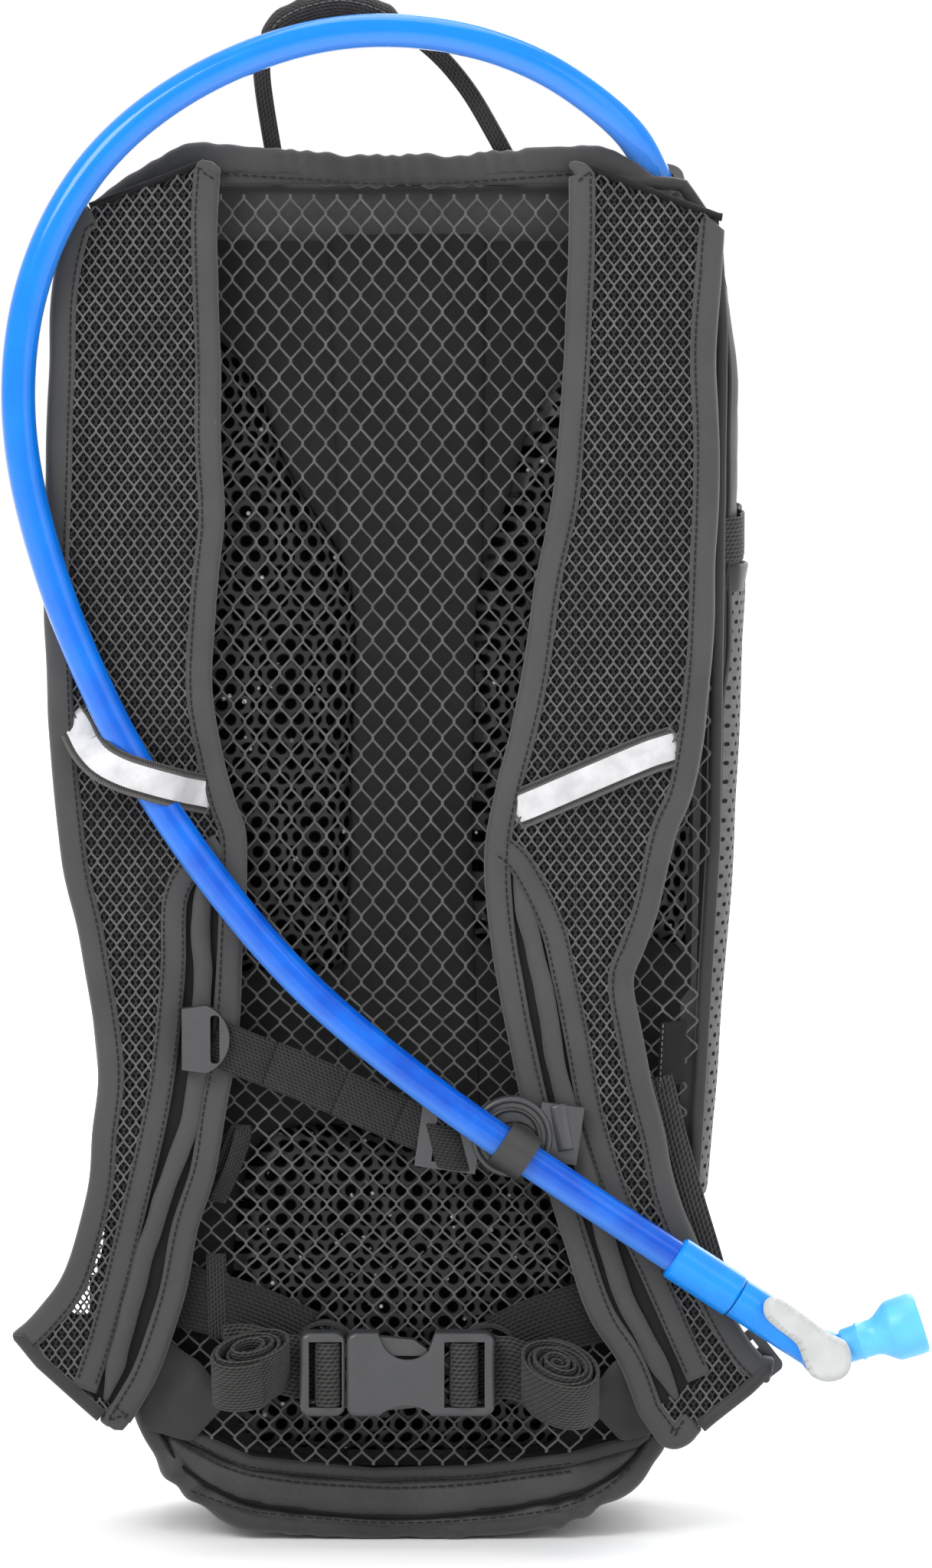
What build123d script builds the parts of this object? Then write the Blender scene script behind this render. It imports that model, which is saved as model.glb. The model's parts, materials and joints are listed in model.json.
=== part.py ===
from build123d import *
import os
from math import cos, pi, radians, sin, tan

# Hydration pack, millimetres, +Z up, origin at the centre of the flat base.
# The harness side faces -Y, so +X is on the right as one looks at the harness.
os.makedirs("parts", exist_ok=True)

# ---------------------------------------------------------------- driving dimensions
FABRIC = 2.0  # wall of the shell: face fabric, foam and lining
GAP = 0.3  # clearance between pieces of different bodies

SHELL_BACK = -38.0  # plane of the shell's harness side
SHELL_FRONT = 40.0  # plane of the shell's outer side
BASE_TOP = 34.0  # seam between the base panel and the shell
# height, half width, back, front, corner radius of the bag's sections
BAG_SECTIONS = [
    (0.0, 44.0, -28.0, 32.0, 12.0),
    (5.0, 60.0, -34.0, 36.0, 14.0),
    (15.0, 76.0, SHELL_BACK, SHELL_FRONT, 16.0),
    (BASE_TOP, 88.0, SHELL_BACK, SHELL_FRONT, 18.0),
    (117.0, 99.0, SHELL_BACK, SHELL_FRONT, 18.0),
    (232.0, 107.0, SHELL_BACK, SHELL_FRONT, 18.0),
    (322.0, 110.0, SHELL_BACK, SHELL_FRONT, 18.0),
    (392.0, 110.0, SHELL_BACK, SHELL_FRONT, 18.0),
    (425.0, 103.5, SHELL_BACK, SHELL_FRONT, 18.0),
    (440.0, 93.0, SHELL_BACK, 26.0, 16.0),
    (447.0, 80.0, SHELL_BACK, 8.0, 12.0),
]

BOARD_BACK = -41.0  # stiffening sheet behind the pads
PAD_BACK = -41.2
PAD_FRONT = -49.2
NET_BACK = -49.4
NET_FRONT = -50.6
BELT_BACK = -50.8  # webbing that runs behind the shoulder straps
BELT_FRONT = -52.2
STRAP_BACK = -52.6
STRAP_FRONT = -60.4
BINDING_WIDTH = 8.5
BINDING_LIP = 0.6  # how far the binding stands out over the strap's core
RAIL_WIDTH = 5.0
RAIL_FRONT = -61.4

WEBBING = 20.0  # waist belt width
WEBBING_THICK = 1.4
STERNUM_WEBBING = 15.0

HOSE_R = 5.5
HOSE_HOLE_R = HOSE_R + 0.3


# ---------------------------------------------------------------- helpers
def front(y):
    """Sketch plane at depth y: local x is X, local y is Z, extrusion goes towards the wearer."""
    return Plane.XZ.offset(-y)


def save(piece, name):
    piece.part.label = name
    export_step(piece.part, f"parts/{name}.step")


def slab(points, back, face, corner=0.0):
    """Flat panel with a polygon outline between two depths, its corners rounded."""
    with BuildPart() as panel:
        with BuildSketch(front(back)) as outline:
            with BuildLine():
                Polyline(*points, close=True)
            make_face()
            if corner > 0:
                fillet(outline.vertices(), corner)
        extrude(amount=back - face)
    return panel


def ribbon(points, width, back, face, radius=0.0):
    """Flat strip of webbing that follows a line in the XZ plane."""
    with BuildPart() as strip:
        with BuildSketch(front(back)):
            with BuildLine() as path:
                if radius > 0 and len(points) > 2:
                    FilletPolyline(*points, radius=radius)
                else:
                    Polyline(*points)
            trace(path.edges(), line_width=width)
        extrude(amount=back - face)
    return strip


def mirrored(points):
    return [(-x, z) for x, z in reversed(points)]


# ---------------------------------------------------------------- bag
def bag_loft(sections, inset=0.0):
    """Solid through rounded rectangles, with flat sides between the sections."""
    with BuildPart() as body:
        for z, half, back, face, corner in sections:
            with BuildSketch(Plane.XY.offset(z)):
                with Locations((0, (back + face) / 2)):
                    RectangleRounded(2 * (half - inset), face - back - 2 * inset, corner - inset)
        loft(ruled=True)
    return body.part


BASE_SECTIONS = [s for s in BAG_SECTIONS if s[0] <= BASE_TOP]
TOP_SECTIONS = [s for s in BAG_SECTIONS if s[0] >= BASE_TOP]
# the lining follows the sections, and stops a fabric's thickness short of the base and the top
BASE_LINING = [(FABRIC, 50.0, -31.0, 34.0, 12.0)] + BASE_SECTIONS[1:]
TOP_LINING = TOP_SECTIONS[:-1] + [(445.0, 82.0, SHELL_BACK, 12.0, 12.0)]

base_lining = bag_loft(BASE_LINING, FABRIC)
top_lining = bag_loft(TOP_LINING, FABRIC)

with BuildPart() as base_panel:
    add(bag_loft(BASE_SECTIONS))
    add(base_lining, mode=Mode.SUBTRACT)
save(base_panel, "base_panel")

# the drink tube leaves through the top right corner of the shell
EXIT = Vector(84, -31, 441)
EXIT_NEXT = Vector(79, -44, 456)
EXIT_DIR = (EXIT_NEXT - EXIT).normalized()
PORT_R = 9.0

with BuildPart() as main_shell:
    add(bag_loft(TOP_SECTIONS))
    add(top_lining, mode=Mode.SUBTRACT)
    with BuildSketch(Plane(origin=EXIT - EXIT_DIR * 8, z_dir=EXIT_DIR)):
        Circle(PORT_R)
    extrude(amount=24, mode=Mode.SUBTRACT)
save(main_shell, "main_shell")

with BuildPart() as hose_port:
    with BuildSketch(Plane(origin=EXIT - EXIT_DIR * 1.0, z_dir=EXIT_DIR)):
        Circle(PORT_R)
        Circle(HOSE_HOLE_R, mode=Mode.SUBTRACT)
    extrude(amount=9.0)
save(hose_port, "hose_port")

# ---------------------------------------------------------------- back panel
BOARD_OUTLINE = [(-84, 48), (84, 48), (94, 120), (98, 300), (94, 420), (-94, 420), (-98, 300), (-94, 120)]
frame_sheet = slab(BOARD_OUTLINE, SHELL_BACK - 0.2, BOARD_BACK, corner=10)
save(frame_sheet, "frame_sheet")

LEFT_POD = [(-90, 192), (-42, 189), (-18, 222), (-18, 315), (-57, 396), (-92, 396)]
RIGHT_POD = [(90, 199), (90, 392), (50, 392), (23, 316), (22, 226), (44, 199)]
LUMBAR_POD = [(-56, 32), (52, 32), (58, 84), (50, 135), (-54, 135), (-62, 84)]
save(slab(LEFT_POD, PAD_BACK, PAD_FRONT, corner=8), "back_pad_left")
save(slab(RIGHT_POD, PAD_BACK, PAD_FRONT, corner=8), "back_pad_right")
save(slab(LUMBAR_POD, PAD_BACK, PAD_FRONT, corner=8), "lumbar_pad")

NET_SIDE = [(53, 26), (78, 35), (92, 110), (100, 230), (101, 400), (88, 446)]
save(slab(NET_SIDE + mirrored(NET_SIDE), NET_BACK, NET_FRONT), "back_net")

BASE_TRIM = [
    (42, 7), (64, 14), (75, 24), (71, 30), (50, 24),
    (-50, 24), (-71, 30), (-75, 24), (-64, 14), (-42, 7),
]
save(slab(BASE_TRIM, SHELL_BACK - 0.2, PAD_FRONT + 1), "base_back_trim")

PIPING_R = 1.8
PIPING_Y = -40.2
PIPING_SIDE = [(48, 3.2), (68, 10), (82, 22), (88, 38)]
with BuildPart() as base_piping:
    with BuildLine(front(PIPING_Y)) as piping_path:
        FilletPolyline(*mirrored(PIPING_SIDE), *PIPING_SIDE, radius=12)
    with BuildSketch(Plane(origin=piping_path.line @ 0, z_dir=piping_path.line % 0)):
        Circle(PIPING_R)
    sweep()
save(base_piping, "base_piping")

HEM_HEIGHT = 11.0
HEM_BACK = -45.0
with BuildPart() as top_hem:
    with BuildSketch(Plane.YZ.offset(-88)):
        with Locations(((NET_FRONT + HEM_BACK) / 2, 447.2 + HEM_HEIGHT / 2)):
            RectangleRounded(HEM_BACK - NET_FRONT, HEM_HEIGHT, 2.5)
    extrude(amount=88 + 65)
save(top_hem, "top_hem")

save(slab([(-60, 119), (-53, 119), (-53, 137), (-60, 137)], BELT_BACK, BELT_FRONT), "panel_loop")
LABEL = [(83, 152), (91, 154), (91.5, 172), (84, 171)]
save(slab(LABEL, BELT_BACK, BELT_FRONT + 0.6), "sewn_label")


# ---------------------------------------------------------------- side pockets and side straps
def side_panel(side, low, high, inner, outer, back, face):
    """Sheet lying along one side of the bag between two heights."""
    edge = [(s[1], s[0]) for s in BAG_SECTIONS]
    rows = [p for p in edge if low < p[1] < high]

    def half_width(z):
        for (x0, z0), (x1, z1) in zip(edge, edge[1:]):
            if z0 <= z <= z1:
                return x0 + (x1 - x0) * (z - z0) / (z1 - z0)

    near = [(half_width(low), low)] + rows + [(half_width(high), high)]
    shape = [(side * (x + inner), z) for x, z in near]
    shape += [(side * (x + outer), z) for x, z in reversed(near)]
    return slab(shape, face, back)


def pair(left, right):
    """One node that holds the left and the right copy of a small piece."""
    with BuildPart() as both:
        add(left.part)
        add(right.part)
    return both


SIDE_BACK, SIDE_FACE = -22.0, 20.0
pockets = [side_panel(side, 117, 312, 0.1, 1.7, SIDE_BACK, SIDE_FACE) for side in (-1, 1)]
save(pair(*pockets), "side_pockets")
hems = [side_panel(side, 312.2, 321, 0.1, 2.6, SIDE_BACK, SIDE_FACE) for side in (-1, 1)]
save(pair(*hems), "side_pocket_hems")
side_straps = [side_panel(side, 324, 339, 0.1, 1.6, SIDE_BACK, SIDE_FACE) for side in (-1, 1)]
save(pair(*side_straps), "side_straps")


# ---------------------------------------------------------------- outer side: zips and pocket
ZIP_X, ZIP_LOW, ZIP_BEND, TAPE_WIDTH = 72.0, 180.0, 340.0, 22.0
TAPE_THICK, COIL_WIDTH, COIL_THICK = 0.9, 6.0, 1.8
TAPE_FACE = SHELL_FRONT + 0.1 + TAPE_THICK


def zip_arch(width, back, thick):
    """Band along the zip: up one side, round the top and down the other."""
    with BuildPart() as band:
        with BuildSketch(Plane.XZ.offset(-back)):
            with BuildLine() as path:
                Line((-ZIP_X, ZIP_LOW), (-ZIP_X, ZIP_BEND))
                ThreePointArc((-ZIP_X, ZIP_BEND), (0, ZIP_BEND + ZIP_X), (ZIP_X, ZIP_BEND))
                Line((ZIP_X, ZIP_BEND), (ZIP_X, ZIP_LOW))
            trace(path.edges(), line_width=width)
        extrude(amount=-thick)
    return band


with BuildPart() as main_zip:
    add(zip_arch(TAPE_WIDTH, SHELL_FRONT + 0.1, TAPE_THICK).part)
    add(zip_arch(COIL_WIDTH, TAPE_FACE, COIL_THICK).part)
save(main_zip, "main_zip")

POCKET_FRONT = 56.0
POCKET_HALF = 56.0
POCKET_LOW, POCKET_HIGH = 52.0, 318.0
POCKET_ZIP_Z = 290.0


def pocket_block(inset):
    """Front pocket's envelope, drawn in on every side towards its outer face."""
    with BuildPart() as block:
        for depth, taper in ((SHELL_FRONT + 0.1, 0.0), (POCKET_FRONT - 6, 2.0), (POCKET_FRONT - inset, 10.0)):
            with BuildSketch(Plane.XZ.offset(-depth)):
                with Locations((0, (POCKET_LOW + POCKET_HIGH) / 2)):
                    RectangleRounded(
                        2 * (POCKET_HALF - taper - inset),
                        POCKET_HIGH - POCKET_LOW - 2 * (taper + inset),
                        24 - inset,
                    )
        loft(ruled=True)
    return block.part


pocket_outside = pocket_block(0.0)
pocket_inside = pocket_block(FABRIC)
with BuildPart() as front_pocket:
    add(pocket_outside)
    add(pocket_inside, mode=Mode.SUBTRACT)
save(front_pocket, "front_pocket")

POCKET_ZIP_HALF = 38.0
POCKET_TAPE_FACE = POCKET_FRONT + 0.1 + TAPE_THICK
with BuildPart() as pocket_zip:
    layers = ((POCKET_FRONT + 0.1, 16.0, TAPE_THICK), (POCKET_TAPE_FACE, COIL_WIDTH, COIL_THICK))
    for start, height, thick in layers:
        with BuildSketch(Plane.XZ.offset(-start)):
            with Locations((0, POCKET_ZIP_Z)):
                Rectangle(2 * POCKET_ZIP_HALF, height)
        extrude(amount=-thick)
save(pocket_zip, "pocket_zip")

SLIDER_LENGTH, SLIDER_WIDTH, SLIDER_THICK = 11.0, 9.0, 4.4
PULL_PIN_R = 1.1


def zip_slider(x, z, tape_face, upright):
    """Slider body that straddles the coil, with a bridge for its pull."""
    top = tape_face + 0.25 + SLIDER_THICK
    coil_top = tape_face + COIL_THICK
    size = (SLIDER_WIDTH, SLIDER_LENGTH) if upright else (SLIDER_LENGTH, SLIDER_WIDTH)
    channel = (COIL_WIDTH + 0.8, 3 * SLIDER_LENGTH) if upright else (3 * SLIDER_LENGTH, COIL_WIDTH + 0.8)
    with BuildPart() as body:
        with BuildSketch(Plane.XZ.offset(-tape_face - 0.25)):
            with Locations((x, z)):
                RectangleRounded(*size, 2.0)
        extrude(amount=-SLIDER_THICK)
        with BuildSketch(Plane.XZ.offset(-tape_face)):
            with Locations((x, z)):
                Rectangle(*channel)
        extrude(amount=-(coil_top - tape_face + 0.35), mode=Mode.SUBTRACT)
        # bridge: two ears and a bar across, above the body
        with BuildSketch(Plane.YZ.offset(x - 2.0)):
            with Locations((top + 1.7, z)):
                Rectangle(4.8, 6.6)
                Rectangle(3.0, 3.0, mode=Mode.SUBTRACT)
        extrude(amount=4.0)
    return body, (x, top + 1.7, z)


def zip_pull(pivot, length=26.0):
    """Cord loop through the bridge with a moulded grip hanging from it."""
    x, y, z = pivot
    half = 4.2
    with BuildPart() as pull:
        with BuildSketch(Plane.XZ.offset(-y + PULL_PIN_R)):
            with Locations((x, z - 4.5)):
                RectangleRounded(2 * half, 11.4, 2.5)
                RectangleRounded(2 * half - 2 * PULL_PIN_R, 11.4 - 2 * PULL_PIN_R, 1.6, mode=Mode.SUBTRACT)
            with Locations((x, z + 0.5)):
                Rectangle(2 * (half - PULL_PIN_R), 3.0, mode=Mode.SUBTRACT)
        extrude(amount=-2 * PULL_PIN_R)
        # round pin of the loop, on the swing axis
        with BuildSketch(Plane.YZ.offset(x - half + PULL_PIN_R / 2)):
            with Locations((y, z)):
                Circle(PULL_PIN_R)
        extrude(amount=2 * half - PULL_PIN_R)
        with BuildSketch(Plane.XZ.offset(-y + 1.6)):
            with Locations((x, z - 10.2 - length / 2)):
                RectangleRounded(7.0, length, 3.0)
        extrude(amount=-3.2)
    return pull


MAIN_SLIDER_Z = ZIP_LOW + 12.0
main_slider, main_pivot = zip_slider(ZIP_X, MAIN_SLIDER_Z, TAPE_FACE, True)
save(main_slider, "main_zip_slider")
save(zip_pull(main_pivot), "main_zip_pull")
POCKET_SLIDER_X = -POCKET_ZIP_HALF + 8.0
pocket_slider, pocket_pivot = zip_slider(POCKET_SLIDER_X, POCKET_ZIP_Z, POCKET_TAPE_FACE, False)
save(pocket_slider, "pocket_zip_slider")
save(zip_pull(pocket_pivot), "pocket_zip_pull")
print("zip pull pivots", main_pivot, pocket_pivot)

# ---------------------------------------------------------------- grab handle
HANDLE_Y = -41.6
HANDLE_FOOT_Z = 449.6
HANDLE_WIDTH = 5.5
HANDLE_DEPTH = 3.6
HANDLE_LINE = [
    (-42, HANDLE_FOOT_Z), (-47, 483), (-39, 498), (-20, 505), (11, 488), (22, 475), (35, HANDLE_FOOT_Z),
]
GRIP_LINE = [(-39.5, 497.2), (-20, 504.6), (-5, 497)]

with BuildPart() as handle_grip:
    with BuildSketch(front(HANDLE_Y + 5.5)):
        with BuildLine() as grip_path:
            FilletPolyline(*GRIP_LINE, radius=16)
        trace(grip_path.edges(), line_width=12.5)
    extrude(amount=11.0)
    fillet(handle_grip.edges().filter_by(Axis.Y, reverse=True), 2.4)
save(handle_grip, "handle_grip")

with BuildPart() as grab_handle:
    with BuildSketch(front(HANDLE_Y + HANDLE_DEPTH / 2)):
        with BuildLine() as handle_path:
            FilletPolyline(*HANDLE_LINE, radius=9)
        trace(handle_path.edges(), line_width=HANDLE_WIDTH)
    extrude(amount=HANDLE_DEPTH)
    add(handle_grip.part, mode=Mode.SUBTRACT)
save(grab_handle, "grab_handle_webbing")
print("handle pieces", len(grab_handle.part.solids()))

with BuildPart() as handle_anchor:
    with BuildSketch(Plane.XY.offset(440)):
        with Locations((-3.5, (SHELL_BACK - 0.2 - 43.8) / 2)):
            Rectangle(98, 43.8 + SHELL_BACK - 0.2)
    extrude(amount=6.8)
save(handle_anchor, "handle_anchor_tape")

# ---------------------------------------------------------------- shoulder straps
LEFT_OUTER = [(-110, 434), (-116, 385), (-118, 319), (-112, 224), (-101, 160), (-105, 116), (-129, 70)]
LEFT_INNER = [(-93, 36), (-80, 60), (-67, 105), (-55, 166), (-53, 225), (-63, 285), (-60, 385), (-60, 453)]
RIGHT_OUTER = [(104, 436), (101, 385), (100, 305), (92, 245), (79, 194), (80, 155), (97, 97), (121, 59)]
RIGHT_INNER = [(85, 31), (62, 70), (48, 115), (30, 184), (27, 232), (42, 317), (52, 385), (52, 452)]


def strap(outer, inner, name):
    """Shoulder strap: a thin padded core inside a folded binding."""
    with BuildPart() as binding:
        with BuildSketch(front(STRAP_BACK)):
            with BuildLine():
                Polyline(*outer, *inner, close=True)
            make_face()
            offset(amount=-BINDING_WIDTH, mode=Mode.SUBTRACT)
        extrude(amount=STRAP_BACK - STRAP_FRONT)
    with BuildPart() as core:
        with BuildSketch(front(STRAP_BACK - BINDING_LIP)):
            with BuildLine():
                Polyline(*outer, *inner, close=True)
            make_face()
            offset(amount=-BINDING_WIDTH)
        extrude(amount=STRAP_BACK - STRAP_FRONT - 2 * BINDING_LIP)
    save(binding, f"strap_binding_{name}")
    save(core, f"strap_core_{name}")


strap(LEFT_OUTER, LEFT_INNER, "left")
strap(RIGHT_OUTER, RIGHT_INNER, "right")

# sternum rails, sewn on the straps
LEFT_RAIL = [(-66.0, 215), (-69.5, 144), (-88, 92), (-97, 56)]
RIGHT_RAIL = [(38, 212), (44, 184), (56, 134), (72, 86), (88, 52)]
rails = [ribbon(line, RAIL_WIDTH, STRAP_FRONT - 0.1, RAIL_FRONT) for line in (LEFT_RAIL, RIGHT_RAIL)]
save(pair(*rails), "sternum_rails")

# reflective strips: a flat one on the right strap, a raised one over the tube on the left strap
STRIP_RIGHT = [(37, 238), (84.5, 257.5), (85.5, 267), (39, 249)]
save(slab(STRIP_RIGHT, STRAP_FRONT - 0.1, STRAP_FRONT - 1.0), "strap_strip_right")

KEEPER_START = Vector(-111.5, STRAP_FRONT - 0.1, 264.5)
KEEPER_ALONG = Vector(40, 0, -18).normalized()
KEEPER_LENGTH = 53.0
KEEPER_WIDTH = 10.5
KEEPER_RISE = 12.5
KEEPER_THICK = 1.0
KEEPER_HALF = KEEPER_WIDTH / 2
with BuildPart() as hose_keeper:
    keeper_side = KEEPER_ALONG.cross(Vector(0, -1, 0))
    keeper_foot = KEEPER_START - keeper_side * KEEPER_HALF
    keeper_plane = Plane(origin=keeper_foot, x_dir=KEEPER_ALONG, z_dir=keeper_side)
    with BuildSketch(keeper_plane):
        with BuildLine() as keeper_path:
            keeper_out = keeper_plane.y_dir.dot(Vector(0, -1, 0))
            rise = keeper_out * KEEPER_RISE
            lift = keeper_out * KEEPER_THICK / 2
            FilletPolyline(
                (0, lift),
                (2.2, lift),
                (3.2, rise + lift),
                (KEEPER_LENGTH - 3.4, rise + lift),
                (KEEPER_LENGTH - 2.2, lift),
                (KEEPER_LENGTH, lift),
                radius=0.9,
            )
        trace(keeper_path.edges(), line_width=KEEPER_THICK)
    extrude(amount=KEEPER_WIDTH)
save(hose_keeper, "hose_keeper_left")

# strap-adjust webbing from under the straps down to the wings at the base
ADJUST_RIGHT = [(85, 140), (96, 108), (97, 76)]
ADJUST_LEFT = [(-92, 150), (-97, 110), (-97, 80)]
adjusters = [ribbon(line, WEBBING, BELT_BACK, BELT_FRONT) for line in (ADJUST_LEFT, ADJUST_RIGHT)]
save(pair(*adjusters), "strap_webbing")

# fabric wings at the base corners; the belt and the strap webbing are sewn to them
LEFT_WING = [(-60, 48), (-72, 33), (-86, 40), (-90, 60), (-72, 60)]
RIGHT_WING = [(60, 48), (74, 33), (86, 40), (90, 60), (72, 60)]
save(pair(slab(LEFT_WING, BELT_BACK, BELT_FRONT), slab(RIGHT_WING, BELT_BACK, BELT_FRONT)), "anchor_wings")


def ladder_lock(x, z, lean):
    """Flat plastic bar frame that the strap webbing threads."""
    with BuildPart() as lock:
        with BuildSketch(Plane(origin=(x, BELT_BACK, z), x_dir=(cos(lean), 0, sin(lean)), z_dir=(0, -1, 0))):
            RectangleRounded(28, 17, 2.5)
            with Locations((0, 3.4), (0, -3.4)):
                Rectangle(21.6, 3.4, mode=Mode.SUBTRACT)
        extrude(amount=1.5)
    return lock


save(pair(ladder_lock(-106.7, 62.1, radians(-43)), ladder_lock(108.4, 56.8, radians(38))), "ladder_locks")

# ---------------------------------------------------------------- sternum strap
STERNUM_FACE = STRAP_FRONT - 0.2
SLIDER_FRONT = STERNUM_FACE - 5.4
RAIL_SLOPE = (LEFT_RAIL[0][0] - LEFT_RAIL[1][0]) / (LEFT_RAIL[0][1] - LEFT_RAIL[1][1])
RAIL_AXIS = Vector(RAIL_SLOPE, 0, 1).normalized()
print("sternum slide axis", RAIL_AXIS)

CLIP_Z = 168.0
with BuildPart() as sternum_slider:
    # D-shaped frame: straight side on the rail, bow towards the webbing
    with BuildSketch(front(STERNUM_FACE)):
        with BuildLine():
            Polyline((-65, 157), (-73, 158), (-73, 178), (-65, 179))
            ThreePointArc((-65, 179), (-57.5, 168), (-65, 157))
        make_face()
        with Locations((-62.2, CLIP_Z)):
            RectangleRounded(3.0, 15.8, 1.2, mode=Mode.SUBTRACT)
    extrude(amount=STERNUM_FACE - SLIDER_FRONT)
    # channel for the rail
    rail_top = (LEFT_RAIL[0][0], STERNUM_FACE, LEFT_RAIL[0][1])
    channel = Plane(origin=rail_top, x_dir=(1, 0, -RAIL_SLOPE), z_dir=(0, -1, 0))
    with BuildSketch(channel):
        with Locations((0, -50)):
            Rectangle(RAIL_WIDTH + 0.8, 80)
    extrude(amount=STERNUM_FACE - RAIL_FRONT + 0.4, mode=Mode.SUBTRACT)
save(sternum_slider, "sternum_slider")

STERNUM_BACK = -62.2
STERNUM_THICK = 1.3
END_LINE = [(-56.5, 164), (-44.4, 159.4)]
MAIN_LINE = [(-44, 159.4), (-14, 147.3), (0.0, 140.9)]
FOLD_LINE = [(-22, 150.6), (-3, 142.4)]
END_BACK = STERNUM_BACK + STERNUM_THICK + 0.2
save(ribbon(END_LINE, STERNUM_WEBBING, END_BACK, END_BACK - STERNUM_THICK), "sternum_webbing_end")
FOLD_BACK = STERNUM_BACK - STERNUM_THICK
with BuildPart() as sternum_webbing:
    add(ribbon(MAIN_LINE, STERNUM_WEBBING, STERNUM_BACK, FOLD_BACK).part)
    add(ribbon(FOLD_LINE, STERNUM_WEBBING - 1, FOLD_BACK, FOLD_BACK - STERNUM_THICK).part)
save(sternum_webbing, "sternum_webbing")

CLIP_FRONT = -65.2
CLIP_RING_R = 13.3
with BuildPart() as sternum_clip:
    with BuildSketch(Plane(origin=(0, -61.6, 0), x_dir=(1, 0, 0), z_dir=(0, -1, 0))):
        with Locations((34.5, 136)):
            Circle(CLIP_RING_R)
        with Locations((14, 135)):
            Rectangle(20, 20, rotation=-8)
        with Locations((50, 137)):
            Rectangle(14, 19, rotation=-8)
    extrude(amount=3.4)
    with BuildSketch(Plane(origin=(0, -61.6, 0), x_dir=(1, 0, 0), z_dir=(0, -1, 0))):
        with Locations((11.0, 135.5)):
            Rectangle(3.4, 15.6, rotation=-8)
    extrude(amount=3.4, mode=Mode.SUBTRACT)
    with BuildSketch(Plane(origin=(0, -65.0, 0), x_dir=(1, 0, 0), z_dir=(0, 1, 0))):
        with Locations((35.5, -132.5)):
            Circle(8.6)
    extrude(amount=1.6, mode=Mode.SUBTRACT)
save(sternum_clip, "sternum_clip")

# ---------------------------------------------------------------- waist belt and buckle
BUCKLE_Z = 58.5
BUCKLE_Y = -66.0
BUCKLE_HALF = 13.8
BUCKLE_THICK = 9.0
BUCKLE_BACK = BUCKLE_Y + BUCKLE_THICK / 2
BUCKLE_LEFT, SEAM, BUCKLE_RIGHT = -34.7, -19.5, 29.0
PLUG_END = SEAM - GAP
SLOT_HALF = 10.8
SLOT = 2.6
BAR_THICK = 5.0
PLUG_SLOTS = (-30.4, -22.2)
SOCKET_SLOTS = (13.8, 24.4)


def buckle_plane(y=BUCKLE_BACK):
    return Plane(origin=(0, y, BUCKLE_Z), x_dir=(1, 0, 0), z_dir=(0, -1, 0))


def webbing_slots(slots):
    """Room for webbing: two slots, and a hollow above and below the bar between them."""
    middle = sum(slots) / 2
    span = slots[1] - slots[0]
    with BuildPart() as room:
        with BuildSketch(buckle_plane()):
            for x in slots:
                with Locations((x, 0)):
                    Rectangle(SLOT, 2 * SLOT_HALF)
        extrude(amount=BUCKLE_THICK)
        for y in (BUCKLE_BACK, BUCKLE_Y - BAR_THICK / 2):
            with BuildSketch(buckle_plane(y)):
                with Locations((middle, 0)):
                    Rectangle(span, 2 * SLOT_HALF)
            extrude(amount=(BUCKLE_THICK - BAR_THICK) / 2)
    return room.part


plug_room = webbing_slots(PLUG_SLOTS)
socket_room = webbing_slots(SOCKET_SLOTS)

with BuildPart() as buckle_plug:
    with BuildSketch(buckle_plane()):
        with Locations(((BUCKLE_LEFT + PLUG_END) / 2, 0)):
            RectangleRounded(PLUG_END - BUCKLE_LEFT, 2 * BUCKLE_HALF, 3.5)
    extrude(amount=BUCKLE_THICK)
    fillet(buckle_plug.faces().sort_by(Axis.Y)[0].edges(), 1.6)
    add(plug_room, mode=Mode.SUBTRACT)
    # guide tongue between the arms
    with BuildSketch(buckle_plane(BUCKLE_Y + 2.0)):
        with Locations(((PLUG_END - 0.5) / 2, 0)):
            Rectangle(-PLUG_END + 0.5, 2.4)
    extrude(amount=4.0)
save(buckle_plug, "buckle_plug")

ARM_THICK = 4.6
ARM_UPPER = [
    (PLUG_END + 0.05, 5.4), (PLUG_END + 0.05, 9.4), (-9.2, 9.7), (-8.6, 12.2),
    (2.5, 11.2), (7.0, 8.0), (6.0, 6.0), (-4, 6.0),
]
for hand, sign in (("upper", 1), ("lower", -1)):
    with BuildPart() as arm:
        with BuildSketch(buckle_plane(BUCKLE_Y + ARM_THICK / 2)) as arm_outline:
            with BuildLine():
                Polyline(*[(x, sign * z) for x, z in ARM_UPPER], close=True)
            make_face()
            fillet(arm_outline.vertices().group_by(Axis.X)[-1], 0.8)
        extrude(amount=ARM_THICK)
    save(arm, f"buckle_arm_{hand}")

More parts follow.
